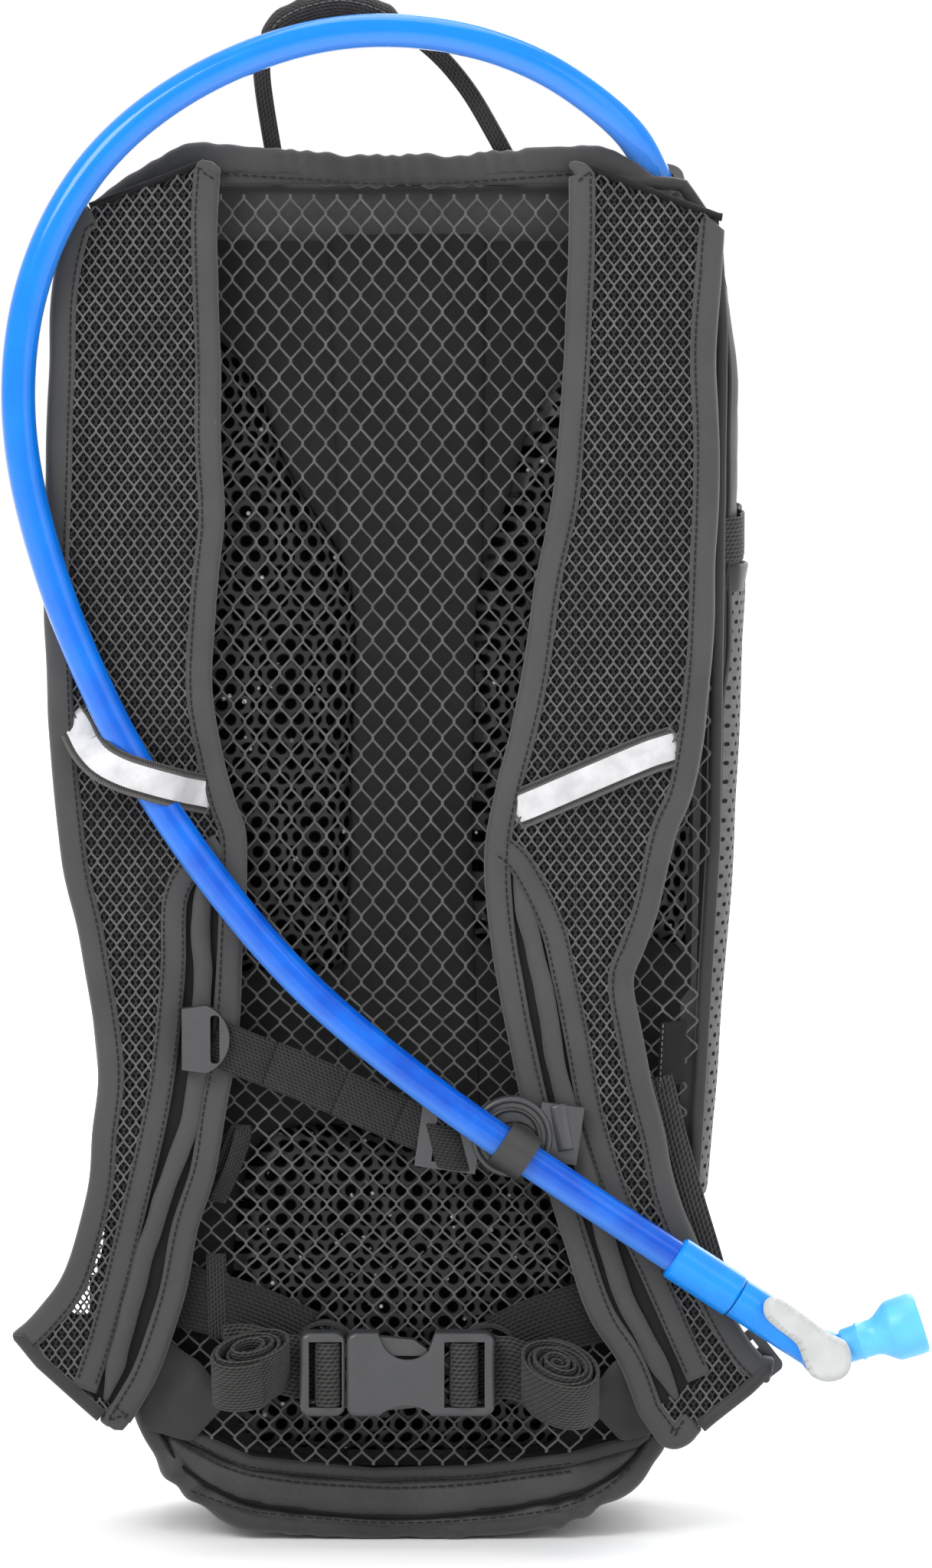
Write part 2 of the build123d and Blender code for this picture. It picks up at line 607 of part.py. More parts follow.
NOTCH_TOP, NOTCH_BOTTOM = 5.0, -10.0
with BuildPart() as buckle_socket:
    with BuildSketch(buckle_plane()):
        with Locations(((SEAM + BUCKLE_RIGHT) / 2, 0)):
            RectangleRounded(BUCKLE_RIGHT - SEAM, 2 * BUCKLE_HALF, 3.5)
    extrude(amount=BUCKLE_THICK)
    fillet(buckle_socket.faces().sort_by(Axis.Y)[0].edges(), 1.6)
    # flanks scooped out so that the arms can be squeezed
    with BuildSketch(buckle_plane()):
        with BuildLine():
            Line((-9.5, 14.5), (-7.5, 9.5))
            ThreePointArc((-7.5, 9.5), (-1.0, NOTCH_TOP), (7.5, 8.0))
            Line((7.5, 8.0), (10.0, 14.5))
            Line((10.0, 14.5), (-9.5, 14.5))
        make_face()
        with BuildLine():
            Line((-9.5, -14.5), (-7.5, -12.4))
            ThreePointArc((-7.5, -12.4), (0, NOTCH_BOTTOM), (7.5, -12.4))
            Line((7.5, -12.4), (9.5, -14.5))
            Line((9.5, -14.5), (-9.5, -14.5))
        make_face()
    extrude(amount=BUCKLE_THICK, mode=Mode.SUBTRACT)
    # pocket for the arms, open at the seam, and the side windows
    with BuildSketch(buckle_plane(BUCKLE_Y + ARM_THICK / 2 + GAP)):
        with Locations((SEAM + 14.5, 0)):
            Rectangle(31.0, 2 * 10.4)
        with Locations((0, 0)):
            Rectangle(19.0, 2 * BUCKLE_HALF + 2)
    extrude(amount=ARM_THICK + 2 * GAP, mode=Mode.SUBTRACT)
    add(socket_room, mode=Mode.SUBTRACT)
save(buckle_socket, "buckle_socket")
print("socket solids", len(buckle_socket.part.solids()))

TAIL_Y = -74.6
TAIL_TILT = radians(30)
TAIL_X = 50.0


def belt_wrap(slots, start, end):
    """Webbing that comes in from behind, goes over the bar and out to its rolled tail."""
    inner, outer = slots
    over = BUCKLE_Y - BAR_THICK / 2 - 0.1 - WEBBING_THICK / 2
    behind = BUCKLE_BACK + 0.5 + WEBBING_THICK
    with BuildPart() as wrap:
        with BuildSketch(Plane.XY.offset(BUCKLE_Z - WEBBING / 2)):
            with BuildLine() as path:
                around = ((inner, behind), (inner, over), (outer, over), (outer, behind))
                Polyline((start, -54.2), *around, (end, behind - 0.9))
            trace(path.edges(), line_width=WEBBING_THICK)
        extrude(amount=WEBBING)
    return wrap


def belt_tail(x, z, wide, deep):
    """Rolled spare webbing: an oval drum whose top leans towards the wearer."""
    with BuildPart() as tail:
        leaning = (0, -sin(TAIL_TILT), cos(TAIL_TILT))
        with BuildSketch(Plane(origin=(x, TAIL_Y, z), x_dir=(1, 0, 0), z_dir=leaning)):
            Ellipse(wide / 2, deep / 2)
        extrude(amount=WEBBING / 2, both=True)
    return tail


tail_left = belt_tail(-TAIL_X, 60.0, 29.0, 17.0)
tail_right = belt_tail(TAIL_X, 57.0, 28.0, 18.0)
save(pair(belt_wrap(PLUG_SLOTS[::-1], -46.0, -36.5), tail_left), "belt_tail_left")
save(pair(belt_wrap(SOCKET_SLOTS, 34.0, 33.0), tail_right), "belt_tail_right")
BELT_LINES = [(-82, 87), (-49, 70)], [(82, 84), (38, 66)]
belts = [ribbon(line, WEBBING, BELT_BACK, BELT_FRONT) for line in BELT_LINES]
save(pair(*belts), "belt_webbing")

# ---------------------------------------------------------------- drink tube
ROUTE = [
    (84, -31, 441),
    (79, -44, 456),
    (66, -53, 470),
    (42, -59, 486),
    (10, -61.5, 495.5),
    (-28, -62, 495),
    (-66, -63, 481),
    (-96, -65, 459),
    (-115, -66.5, 431),
    (-125, -67, 398),
    (-125.5, -67, 360),
    (-115, -67, 318),
    (-100, -67, 281),
    (-84, -67, 251),
    (-62, -67.5, 219),
    (-36, -69, 188),
    (-8, -71.5, 164),
    (21, -73.2, 142.2),
    (50, -73.2, 122.6),
    (76, -70, 104.8),
    (95, -70, 92.4),
]
INNER_ROUTE = [
    (34, 12, 98),
    (34, 12, 140),
    (40, 14, 200),
    (48, 13, 262),
    (60, 10, 320),
    (74, 4, 371),
    (86, -8, 404),
    tuple(EXIT - EXIT_DIR * 20),
    tuple(EXIT),
]
SHARE = 0.45  # share of the shorter run that a corner's arc takes up


def corner_radii(points):
    radii = []
    for before, here, after in zip(points, points[1:], points[2:]):
        run_in = Vector(*here) - Vector(*before)
        run_out = Vector(*after) - Vector(*here)
        half_turn = radians(run_in.get_angle(run_out)) / 2
        radii.append(SHARE * min(run_in.length, run_out.length) / tan(half_turn))
    return radii


def tube(points, name):
    radii = corner_radii(points)
    with BuildPart() as hose:
        with BuildLine() as route:
            FilletPolyline(*points, radius=radii)
        with BuildSketch(Plane(origin=route.line @ 0, z_dir=route.line % 0)):
            Circle(HOSE_R)
        sweep()
    length = sum(edge.length for edge in route.edges())
    whole = pi * HOSE_R**2 * length
    print(name, "length", round(length, 1), "volume ratio", round(hose.part.volume / whole, 4))
    print(name, "radii", [round(r) for r in radii])
    save(hose, name)


tube(ROUTE, "drink_tube")
tube(INNER_ROUTE, "inner_tube")

# the clip's round band lies along the tube
BAND_DIR = (Vector(*ROUTE[18]) - Vector(*ROUTE[17])).normalized()
BAND_CENTRE = (Vector(*ROUTE[18]) + Vector(*ROUTE[17])) / 2
BAND_LENGTH, BAND_R = 11.0, 8.0
with BuildPart() as tube_band:
    with BuildSketch(Plane(origin=BAND_CENTRE - BAND_DIR * BAND_LENGTH / 2, z_dir=BAND_DIR)):
        Circle(BAND_R)
    extrude(amount=BAND_LENGTH)
    with BuildSketch(Plane(origin=(BAND_CENTRE.X, CLIP_FRONT + 1.6, BAND_CENTRE.Z), z_dir=(0, -1, 0))):
        Circle(8.3)
    extrude(amount=4.0)
    with BuildSketch(Plane(origin=BAND_CENTRE - BAND_DIR * BAND_LENGTH, z_dir=BAND_DIR)):
        Circle(HOSE_HOLE_R)
    extrude(amount=2 * BAND_LENGTH, mode=Mode.SUBTRACT)
save(tube_band, "tube_band")

# ---------------------------------------------------------------- drink valve
TUBE_END = Vector(*ROUTE[-1])
VALVE_AXIS = (TUBE_END - Vector(*ROUTE[-2])).normalized()
print("swivel axis", VALVE_AXIS, "end", TUBE_END)
COLLAR_BACK, COLLAR_FRONT = -9.0, 15.0
ELBOW_REACH = 49.0
COCK = TUBE_END + VALVE_AXIS * ELBOW_REACH
MOUTH_DIR = Vector(cos(radians(18)), 0, sin(radians(18)))
print("cock centre", COCK)


def along(distance):
    return Plane(origin=TUBE_END + VALVE_AXIS * distance, z_dir=VALVE_AXIS)


with BuildPart() as tube_collar:
    with BuildSketch(along(COLLAR_BACK)):
        Circle(7.4)
    extrude(amount=COLLAR_FRONT - COLLAR_BACK)
    chamfer(tube_collar.edges().filter_by(GeomType.CIRCLE), 0.8)
    with BuildSketch(along(COLLAR_BACK)):
        Circle(HOSE_R)
    extrude(amount=-COLLAR_BACK, mode=Mode.SUBTRACT)
    with BuildSketch(along(COLLAR_FRONT - 9.0)):
        Circle(4.6)
    extrude(amount=9.0, mode=Mode.SUBTRACT)
save(tube_collar, "tube_collar")

COCK_R = 3.0
ELBOW_R = 6.8
LEVER_FACE = COCK.Y - ELBOW_R - 1.4
with BuildPart() as valve_elbow:
    with BuildSketch(along(COLLAR_FRONT - 8.0)):
        Circle(4.5)
    extrude(amount=8.4)
    with BuildSketch(along(COLLAR_FRONT + 0.3)):
        Circle(ELBOW_R)
    extrude(amount=ELBOW_REACH - COLLAR_FRONT - 0.3)
    with Locations(COCK):
        Sphere(ELBOW_R + 0.9)
    with BuildSketch(Plane(origin=COCK, z_dir=MOUTH_DIR)):
        Circle(4.6)
    extrude(amount=18.0)
    with BuildSketch(Plane(origin=(COCK.X, COCK.Y - 12, COCK.Z), z_dir=(0, 1, 0))):
        Circle(COCK_R + 0.05)
    extrude(amount=16.0, mode=Mode.SUBTRACT)
save(valve_elbow, "valve_elbow")

LEVER_THICK, LEVER_REACH, LEVER_WIDTH = 2.8, 27.0, 6.6
LEVER_DIR = Vector(-0.74, 0, 0.673)
with BuildPart() as valve_lever:
    with BuildSketch(Plane(origin=(COCK.X, LEVER_FACE, COCK.Z), x_dir=LEVER_DIR, z_dir=(0, -1, 0))):
        Circle(7.0)
        with Locations((LEVER_REACH / 2, 0)):
            RectangleRounded(LEVER_REACH, LEVER_WIDTH, 2.6)
    extrude(amount=LEVER_THICK)
    fillet(valve_lever.faces().sort_by(Axis.Y)[0].edges(), 0.8)
    with BuildSketch(Plane(origin=(COCK.X, LEVER_FACE, COCK.Z), z_dir=(0, 1, 0))):
        Circle(COCK_R)
    extrude(amount=11.0)
save(valve_lever, "valve_lever")

MOUTH_NECK, MOUTH_CONE, MOUTH_TIP, MOUTH_R = 8.0, 11.0, 11.5, 10.0
with BuildPart() as bite_valve:
    mouth_start = COCK + MOUTH_DIR * 9.0
    mouth_plane = Plane(origin=mouth_start, x_dir=MOUTH_DIR, z_dir=(0, -1, 0))
    with BuildSketch(mouth_plane):
        with BuildLine():
            Polyline((0, 4.65), (0, 5.9), (MOUTH_NECK, 5.9))
            Line((MOUTH_NECK, 5.9), (MOUTH_NECK + MOUTH_CONE, MOUTH_R - 0.6))
            Line((MOUTH_NECK + MOUTH_CONE, MOUTH_R - 0.6), (MOUTH_NECK + MOUTH_CONE + 1.0, MOUTH_R))
            Line((MOUTH_NECK + MOUTH_CONE + 1.0, MOUTH_R), (MOUTH_NECK + MOUTH_CONE + MOUTH_TIP - 2, MOUTH_R))
            ThreePointArc(
                (MOUTH_NECK + MOUTH_CONE + MOUTH_TIP - 2, MOUTH_R),
                (MOUTH_NECK + MOUTH_CONE + MOUTH_TIP - 0.6, MOUTH_R - 0.6),
                (MOUTH_NECK + MOUTH_CONE + MOUTH_TIP, MOUTH_R - 2),
            )
            Polyline(
                (MOUTH_NECK + MOUTH_CONE + MOUTH_TIP, MOUTH_R - 2),
                (MOUTH_NECK + MOUTH_CONE + MOUTH_TIP, 0),
                (10.0, 0),
                (10.0, 4.65),
                (0, 4.65),
            )
        make_face()
    revolve(axis=Axis(mouth_start, MOUTH_DIR))
save(bite_valve, "bite_valve")

# ---------------------------------------------------------------- reservoir
BLADDER_BACK, BLADDER_FRONT = -34.0, -4.0
BLADDER_LOW, BLADDER_HIGH, BLADDER_HALF = 44.0, 378.0, 68.0
with BuildPart() as reservoir_bladder:
    with BuildSketch(Plane.XZ.offset(-BLADDER_BACK)):
        with Locations((0, (BLADDER_LOW + BLADDER_HIGH) / 2)):
            RectangleRounded(2 * BLADDER_HALF, BLADDER_HIGH - BLADDER_LOW, 26)
    extrude(amount=BLADDER_BACK - BLADDER_FRONT)
    fillet(reservoir_bladder.faces().filter_by(Axis.Y).edges(), 9)
save(reservoir_bladder, "reservoir_bladder")

PORT_Z, PORT_OUTER, PORT_INNER, PORT_HEIGHT = 318.0, 40.0, 34.0, 8.0
with BuildPart() as fill_collar:
    with BuildSketch(Plane.XZ.offset(-BLADDER_FRONT - 0.05)):
        with Locations((0, PORT_Z)):
            Circle(PORT_OUTER)
            Circle(PORT_INNER, mode=Mode.SUBTRACT)
    extrude(amount=-PORT_HEIGHT)
save(fill_collar, "fill_collar")

CAP_BACK = BLADDER_FRONT + PORT_HEIGHT + GAP
CAP_THICK = 9.0
with BuildPart() as reservoir_cap:
    with BuildSketch(Plane.XZ.offset(-CAP_BACK)):
        with Locations((0, PORT_Z)):
            Circle(PORT_OUTER + 2)
            with PolarLocations(PORT_OUTER + 2, 24):
                Circle(1.6, mode=Mode.SUBTRACT)
    extrude(amount=-CAP_THICK)
    with BuildSketch(Plane.XZ.offset(-CAP_BACK - CAP_THICK)):
        with Locations((0, PORT_Z)):
            RectangleRounded(62, 11, 4)
    extrude(amount=-8)
    with BuildSketch(Plane.XZ.offset(-CAP_BACK)):
        with Locations((0, PORT_Z)):
            Circle(PORT_INNER - GAP)
            Circle(PORT_INNER - 3, mode=Mode.SUBTRACT)
    extrude(amount=6)
save(reservoir_cap, "reservoir_cap")

save(ribbon([(0, BLADDER_HIGH + 0.2), (0, 438)], WEBBING, -19, -20.5), "hanger_strap")

LINK_X, LINK_Y, LINK_Z = 34.0, 12.0, 68.0
with BuildPart() as tube_link:
    with BuildSketch(Plane.XZ.offset(-BLADDER_FRONT - 0.05)):
        with Locations((LINK_X, LINK_Z)):
            Circle(15)
    extrude(amount=-5.0)
    with BuildSketch(Plane.XZ.offset(-BLADDER_FRONT - 5.0)):
        with Locations((LINK_X, LINK_Z)):
            Circle(7.5)
    extrude(amount=-(LINK_Y - BLADDER_FRONT - 5.0))
    with BuildSketch(Plane.XY.offset(LINK_Z - 10)):
        with Locations((LINK_X, LINK_Y)):
            Circle(8.2)
    extrude(amount=INNER_ROUTE[0][2] - LINK_Z + 10)
    # recess for the release button
    with BuildSketch(Plane.XZ.offset(-LINK_Y - 4.0)):
        with Locations((LINK_X, LINK_Z + 18)):
            Circle(4.9)
    extrude(amount=-8, mode=Mode.SUBTRACT)
save(tube_link, "tube_link")
with BuildPart() as release_button:
    with BuildSketch(Plane.XZ.offset(-LINK_Y - 5.8)):
        with Locations((LINK_X, LINK_Z + 18)):
            Circle(4.5)
    extrude(amount=-5.0)
    fillet(release_button.faces().sort_by(Axis.Y)[-1].edges(), 0.8)
save(release_button, "release_button")
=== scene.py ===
import json
from math import ceil, cos, pi, radians, sin, sqrt

import bmesh
import bpy
from mathutils import Matrix, Vector, noise

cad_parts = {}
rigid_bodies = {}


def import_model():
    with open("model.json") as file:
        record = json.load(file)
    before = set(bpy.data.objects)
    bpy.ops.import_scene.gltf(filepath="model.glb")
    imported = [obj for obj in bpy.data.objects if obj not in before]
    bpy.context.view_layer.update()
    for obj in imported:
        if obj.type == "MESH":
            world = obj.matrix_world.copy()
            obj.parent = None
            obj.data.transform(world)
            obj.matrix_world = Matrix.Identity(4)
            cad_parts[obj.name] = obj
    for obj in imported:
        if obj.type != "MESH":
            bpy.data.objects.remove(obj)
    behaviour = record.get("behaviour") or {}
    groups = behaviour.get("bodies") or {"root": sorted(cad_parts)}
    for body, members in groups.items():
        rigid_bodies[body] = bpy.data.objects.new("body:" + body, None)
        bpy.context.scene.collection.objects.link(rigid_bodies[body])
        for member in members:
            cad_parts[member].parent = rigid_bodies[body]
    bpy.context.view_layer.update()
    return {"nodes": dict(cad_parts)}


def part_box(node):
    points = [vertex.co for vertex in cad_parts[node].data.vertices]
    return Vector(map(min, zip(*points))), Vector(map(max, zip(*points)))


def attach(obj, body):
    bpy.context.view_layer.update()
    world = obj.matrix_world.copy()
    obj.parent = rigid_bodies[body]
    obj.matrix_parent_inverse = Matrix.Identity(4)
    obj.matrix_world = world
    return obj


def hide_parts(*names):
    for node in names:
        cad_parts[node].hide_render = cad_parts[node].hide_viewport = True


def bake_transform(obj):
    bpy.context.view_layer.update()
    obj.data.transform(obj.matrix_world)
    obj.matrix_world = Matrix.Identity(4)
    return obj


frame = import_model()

MM = 0.001

# ---------------------------------------------------------------- depths shared with the frame (metres)
STRAP_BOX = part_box("strap_binding_left")
STRAP_FRONT, STRAP_BACK = STRAP_BOX[0][1], STRAP_BOX[1][1]


# ---------------------------------------------------------------- small geometry helpers
def millimetres(points):
    return [Vector(p) * MM for p in points]


def new_object(name, verts, faces, material, smooth=True, uvs=None):
    mesh = bpy.data.meshes.new(name)
    mesh.from_pydata([tuple(v) for v in verts], [], faces)
    if uvs is not None:
        layer = mesh.uv_layers.new(name="metres")
        for loop in mesh.loops:
            layer.data[loop.index].uv = uvs[loop.vertex_index]
    mesh.validate()
    work = bmesh.new()
    work.from_mesh(mesh)
    bmesh.ops.recalc_face_normals(work, faces=work.faces)
    work.to_mesh(mesh)
    work.free()
    for polygon in mesh.polygons:
        polygon.use_smooth = smooth
    mesh.materials.append(material)
    piece = bpy.data.objects.new(name, mesh)
    bpy.context.scene.collection.objects.link(piece)
    return piece


def smooth_line(points, steps=8, closed=False):
    """Catmull-Rom line through the points."""
    count = len(points)
    line = []
    spans = count if closed else count - 1
    for i in range(spans):
        if closed:
            a, b, c, d = (points[(i + k) % count] for k in (-1, 0, 1, 2))
        else:
            b, c = points[i], points[i + 1]
            a = points[i - 1] if i > 0 else b * 2 - c
            d = points[i + 2] if i + 2 < count else c * 2 - b
        for k in range(steps):
            t = k / steps
            line.append(0.5 * (
                2 * b + (c - a) * t + (2 * a - 5 * b + 4 * c - d) * t * t + (3 * b - 3 * c + d - a) * t**3
            ))
    if not closed:
        line.append(points[-1].copy())
    return line


def resample(line, step, closed=False):
    """Even spacing along a line, about one point every step."""
    loop = line + [line[0]] if closed else line
    lengths = [0.0]
    for a, b in zip(loop, loop[1:]):
        lengths.append(lengths[-1] + (b - a).length)
    count = max(2, round(lengths[-1] / step))
    found, k = [], 0
    last = count if closed else count + 1
    for i in range(last):
        want = lengths[-1] * i / count
        while k < len(loop) - 2 and lengths[k + 1] < want:
            k += 1
        span = lengths[k + 1] - lengths[k]
        found.append(loop[k].lerp(loop[k + 1], (want - lengths[k]) / span if span > 0 else 0))
    return found


def tangents(line, closed=False):
    count = len(line)
    found = []
    for i in range(count):
        a = line[(i - 1) % count] if closed or i > 0 else line[i]
        b = line[(i + 1) % count] if closed or i < count - 1 else line[i]
        found.append((b - a).normalized())
    return found


def wobble(point, size, height, seed=0.0):
    """Smooth random height, for creases and unevenness."""
    return noise.noise(point / size + Vector((seed, seed * 1.7, seed * 0.3))) * height


def ring_faces(rows, ring, closed=False):
    """Quads between neighbouring rings of points."""
    faces = []
    for i in range(rows if closed else rows - 1):
        j = (i + 1) % rows
        for k in range(ring):
            m = (k + 1) % ring
            faces.append((i * ring + k, i * ring + m, j * ring + m, j * ring + k))
    return faces


def sweep_profile(name, line, profile, side, material, closed=False):
    """Closed profile carried along a line. profile is a list of (across, out); side gives both directions."""
    steps = tangents(line, closed)
    verts, uvs = [], []
    run = 0.0
    ring = len(profile)
    for i, here in enumerate(line):
        if i:
            run += (here - line[i - 1]).length
        across, out = side(steps[i], i / max(1, len(line) - 1))
        around = 0.0
        for k, (a, o) in enumerate(profile):
            if k:
                around += sqrt((a - profile[k - 1][0]) ** 2 + (o - profile[k - 1][1]) ** 2)
            verts.append(here + across * a + out * o)
            uvs.append((run, around))
    rows = len(line)
    faces = ring_faces(rows, ring, closed)
    if not closed:
        faces.append(tuple(range(ring)))
        faces.append(tuple((rows - 1) * ring + k for k in range(ring)))
    return new_object(name, verts, faces, material, uvs=uvs)


FACING = Vector((0, -1, 0))


def oval(half_width, half_height, count):
    """Oval profile with count points."""
    return [(half_width * cos(2 * pi * k / count),
             half_height * sin(2 * pi * k / count)) for k in range(count)]


def flat_side(step, share):
    """Across lies in the XZ plane, square to the line; out faces the wearer."""
    return FACING.cross(step).normalized() * -1, FACING


def rounded_strip(width, thick, points=3):
    """Profile of webbing or a band: a flat oblong with rounded edges, centred on the line."""
    corner = thick * 0.45
    half, tall = width / 2 - corner, thick / 2 - corner
    found = []
    for centre_x, centre_y, start in ((half, tall, 0), (-half, tall, 90), (-half, -tall, 180),
                                      (half, -tall, 270)):
        for k in range(points):
            angle = radians(start + 90 * k / (points - 1))
            found.append((centre_x + corner * cos(angle), centre_y + corner * sin(angle)))
    return found


def strands(name, lines, radius, material):
    """Thin threads as one curve object."""
    curve = bpy.data.curves.new(name, "CURVE")
    curve.dimensions = "3D"
    curve.bevel_depth = radius
    curve.bevel_resolution = 1
    for line in lines:
        spline = curve.splines.new("POLY")
        spline.points.add(len(line) - 1)
        for point, here in zip(spline.points, line):
            point.co = (*here, 1.0)
    curve.materials.append(material)
    piece = bpy.data.objects.new(name, curve)
    bpy.context.scene.collection.objects.link(piece)
    return piece


def net_lines(inside, cell_width, level, rows, reach, depth, phase=0.0):
    """Strands of an open net in the XZ plane: neighbours meet, run together a little and part again.
    level(row) is the height of a row of cells, which may be a fraction; reach is the net's x range."""
    steps = ((0.0, 1), (0.14, 1), (0.5, -1), (0.64, -1))
    lines = []
    column = 0
    x = reach[0]
    while x <= reach[1]:
        sign = 1 if column % 2 else -1
        line = []
        for row in range(rows):
            for share, way in steps:
                here_x = x + sign * way * cell_width / 4 * 0.94
                here_z = level(row + share + phase)
                if inside(here_x, here_z):
                    line.append(Vector((here_x, depth(here_x, here_z), here_z)))
                else:
                    if len(line) > 1:
                        lines.append(line)
                    line = []
        if len(line) > 1:
            lines.append(line)
        x += cell_width / 2
        column += 1
    return lines


def inside_polygon(polygon):
    """Test for a point in an XZ outline given as (x, z) pairs."""
    pairs = list(zip(polygon, polygon[1:] + polygon[:1]))

    def test(x, z):
        hit = False
        for (xa, za), (xb, zb) in pairs:
            if (za > z) != (zb > z) and x < (xb - xa) * (z - za) / (zb - za) + xa:
                hit = not hit
        return hit

    return test


STITCH_LIFT = 0.15 * MM


def stitch_row(name, line, body, material, pitch=2.4 * MM, length=1.7 * MM, width=0.42 * MM, out=FACING):
    """Row of separate stitches lying on a surface along a line."""
    points = resample(line, pitch)
    steps = tangents(points)
    verts, faces = [], []
    for here, step in zip(points, steps):
        across = step.cross(out).normalized()
        ends = (here - step * length / 2, here + step * length / 2)
        base = len(verts)
        for end in ends:
            for a, o in ((-1, -1), (1, -1), (1, 1), (-1, 1)):
                verts.append(end + across * a * width / 2 + out * (o * width / 2 + STITCH_LIFT))
        faces += [(base + a, base + b, base + c, base + d) for a, b, c, d in
                  ((0, 1, 2, 3), (4, 5, 6, 7), (0, 1, 5, 4), (1, 2, 6, 5), (2, 3, 7, 6), (3, 0, 4, 7))]
    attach(new_object(name, verts, faces, material, smooth=False), body)


# ---------------------------------------------------------------- node helpers
class Nodes:
    """Short way to write a material's node tree."""

    def __init__(self, name):
        self.material = bpy.data.materials.new(name)
        self.material.use_nodes = True
        self.tree = self.material.node_tree
        self.shader = self.tree.nodes["Principled BSDF"]
        self.place = self.tree.nodes.new("ShaderNodeTexCoord").outputs["Object"]

    def node(self, kind, inputs=(), **settings):
        made = self.tree.nodes.new("ShaderNode" + kind)
        for key, value in settings.items():
            setattr(made, key, value)
        for key, value in dict(inputs).items():
            if isinstance(value, bpy.types.NodeSocket):
                self.tree.links.new(value, made.inputs[key])
            else:
                made.inputs[key].default_value = value
        return made

    def math(self, operation, a, b=0.0):
        return self.node("Math", {0: a, 1: b}, operation=operation).outputs[0]

    def mul(self, a, b):
        return self.math("MULTIPLY", a, b)

    def add(self, a, b):
        return self.math("ADD", a, b)

    def spread(self, value, low, high):
        """A value from 0 to 1 carried to the range low to high."""
        return self.node("MapRange", {"Value": value, "To Min": low, "To Max": high}).outputs[0]

    def noise(self, scale, detail=3.0, rough=0.5):
        made = self.node("TexNoise", {"Vector": self.place, "Scale": scale, "Detail": detail,
                                      "Roughness": rough})
        return made.outputs["Fac"]

    def split(self, vector=None):
        return self.node("SeparateXYZ", {0: vector or self.place}).outputs

    def uv(self):
        made = self.tree.nodes.new("ShaderNodeUVMap")
        made.uv_map = "metres"
        return made.outputs[0]

    def mix(self, factor, a, b):
        made = self.node("Mix", {"Factor": factor}, data_type="RGBA")
        for socket, value in ((made.inputs[6], a), (made.inputs[7], b)):
            if isinstance(value, bpy.types.NodeSocket):
                self.tree.links.new(value, socket)
            else:
                socket.default_value = (*value, 1.0)
        return made.outputs[2]

    def ramp(self, factor, low, high):
        """Smooth step from 0 at low to 1 at high."""
        return self.node(
            "MapRange", {"Value": factor, "From Min": low, "From Max": high}, interpolation_type="SMOOTHSTEP"
        ).outputs[0]

    def bump(self, height, distance, strength=1.0, below=None):
        inputs = {"Height": height, "Distance": distance, "Strength": strength}
        if below is not None:
            inputs["Normal"] = below
        return self.node("Bump", inputs).outputs[0]

    def finish(self, colour, rough, normal=None, **sockets):
        for key, value in (("Base Color", colour), ("Roughness", rough), ("Normal", normal)):
            if value is None:
                continue
            if isinstance(value, bpy.types.NodeSocket):
                self.tree.links.new(value, self.shader.inputs[key])
            else:
                self.shader.inputs[key].default_value = (*value, 1.0) if key == "Base Color" else value
        for key, value in sockets.items():
            self.shader.inputs[key.replace("_", " ")].default_value = value
        return self.material


def grey(value, warm=0.0):
    return (value * (1 + warm), value, value * (1 - warm))


def fabric(name, light, dark, weave=0.55 * MM, crease=0.6 * MM, rough=0.72, sheen=0.25, warm=0.0):
    """Plain woven cloth: fine crossing threads, soft creases and uneven colour."""
    n = Nodes(name)
    x, y, z = n.split()
    count = 2 * pi / weave
    warp = n.math("SINE", n.mul(n.add(x, n.mul(y, 0.7)), count))
    weft = n.math("SINE", n.mul(n.add(z, n.mul(y, 0.4)), count))
    threads = n.mul(warp, weft)
    patch = n.noise(26, 4, 0.55)
    fine = n.noise(900, 2, 0.6)
    tone = n.ramp(n.add(n.mul(patch, 0.75), n.mul(fine, 0.25)), 0.3, 0.7)
    colour = n.mix(tone, grey(dark, warm), grey(light, warm))
    roughness = n.spread(fine, rough - 0.1, rough + 0.12)
    folds = n.bump(n.noise(38, 3, 0.5), crease, 0.8)
    normal = n.bump(threads, 0.05 * MM, 0.5, folds)
    return n.finish(colour, roughness, normal, Sheen_Weight=sheen, Sheen_Roughness=0.5,
                    Specular_IOR_Level=0.22)


def webbing(name, light, dark, rib=1.05 * MM, along=2.1 * MM):
    """Ribbed webbing; its UV runs in metres along the strap and across it."""
    n = Nodes(name)
    u, v, _ = n.split(n.uv())
    ribs = n.math("SINE", n.mul(v, 2 * pi / rib))
    picks = n.math("SINE", n.add(n.mul(u, 2 * pi / along), n.mul(v, pi / rib)))
    height = n.add(n.mul(ribs, 0.6), n.mul(picks, 0.4))
    # painted shade and highlight: the colour follows the rib height, darker in the grooves and lighter on the
    # ridges; the noise adds random tone
    tone = n.ramp(n.add(height, n.mul(n.noise(300, 3), 0.8)), -0.7, 1.3)
    colour = n.mix(tone, grey(dark, 0.04), grey(light, 0.04))
    normal = n.bump(height, 0.22 * MM, 0.9)
    roughness = n.spread(n.noise(1500, 2), 0.5, 0.8)
    return n.finish(colour, roughness, normal, Sheen_Weight=0.06, Specular_IOR_Level=0.2)


def plastic(name, colour, rough=0.42, grain=0.02 * MM, specular=0.5, coat=0.0):
    """Moulded plastic: spark-eroded grain, faint flow marks and rubbed patches."""
    n = Nodes(name)
    flow = n.noise(120, 3)
    tone = n.ramp(flow, 0.25, 0.75)
    low = tuple(c * 0.86 for c in colour)
    base = n.mix(tone, low, colour)
    roughness = n.spread(n.noise(420, 4), rough - 0.08, rough + 0.1)
    normal = n.bump(n.noise(5200, 2), grain, 0.6)
    return n.finish(base, roughness, normal, Specular_IOR_Level=specular, Coat_Weight=coat,
                    Coat_Roughness=0.15)


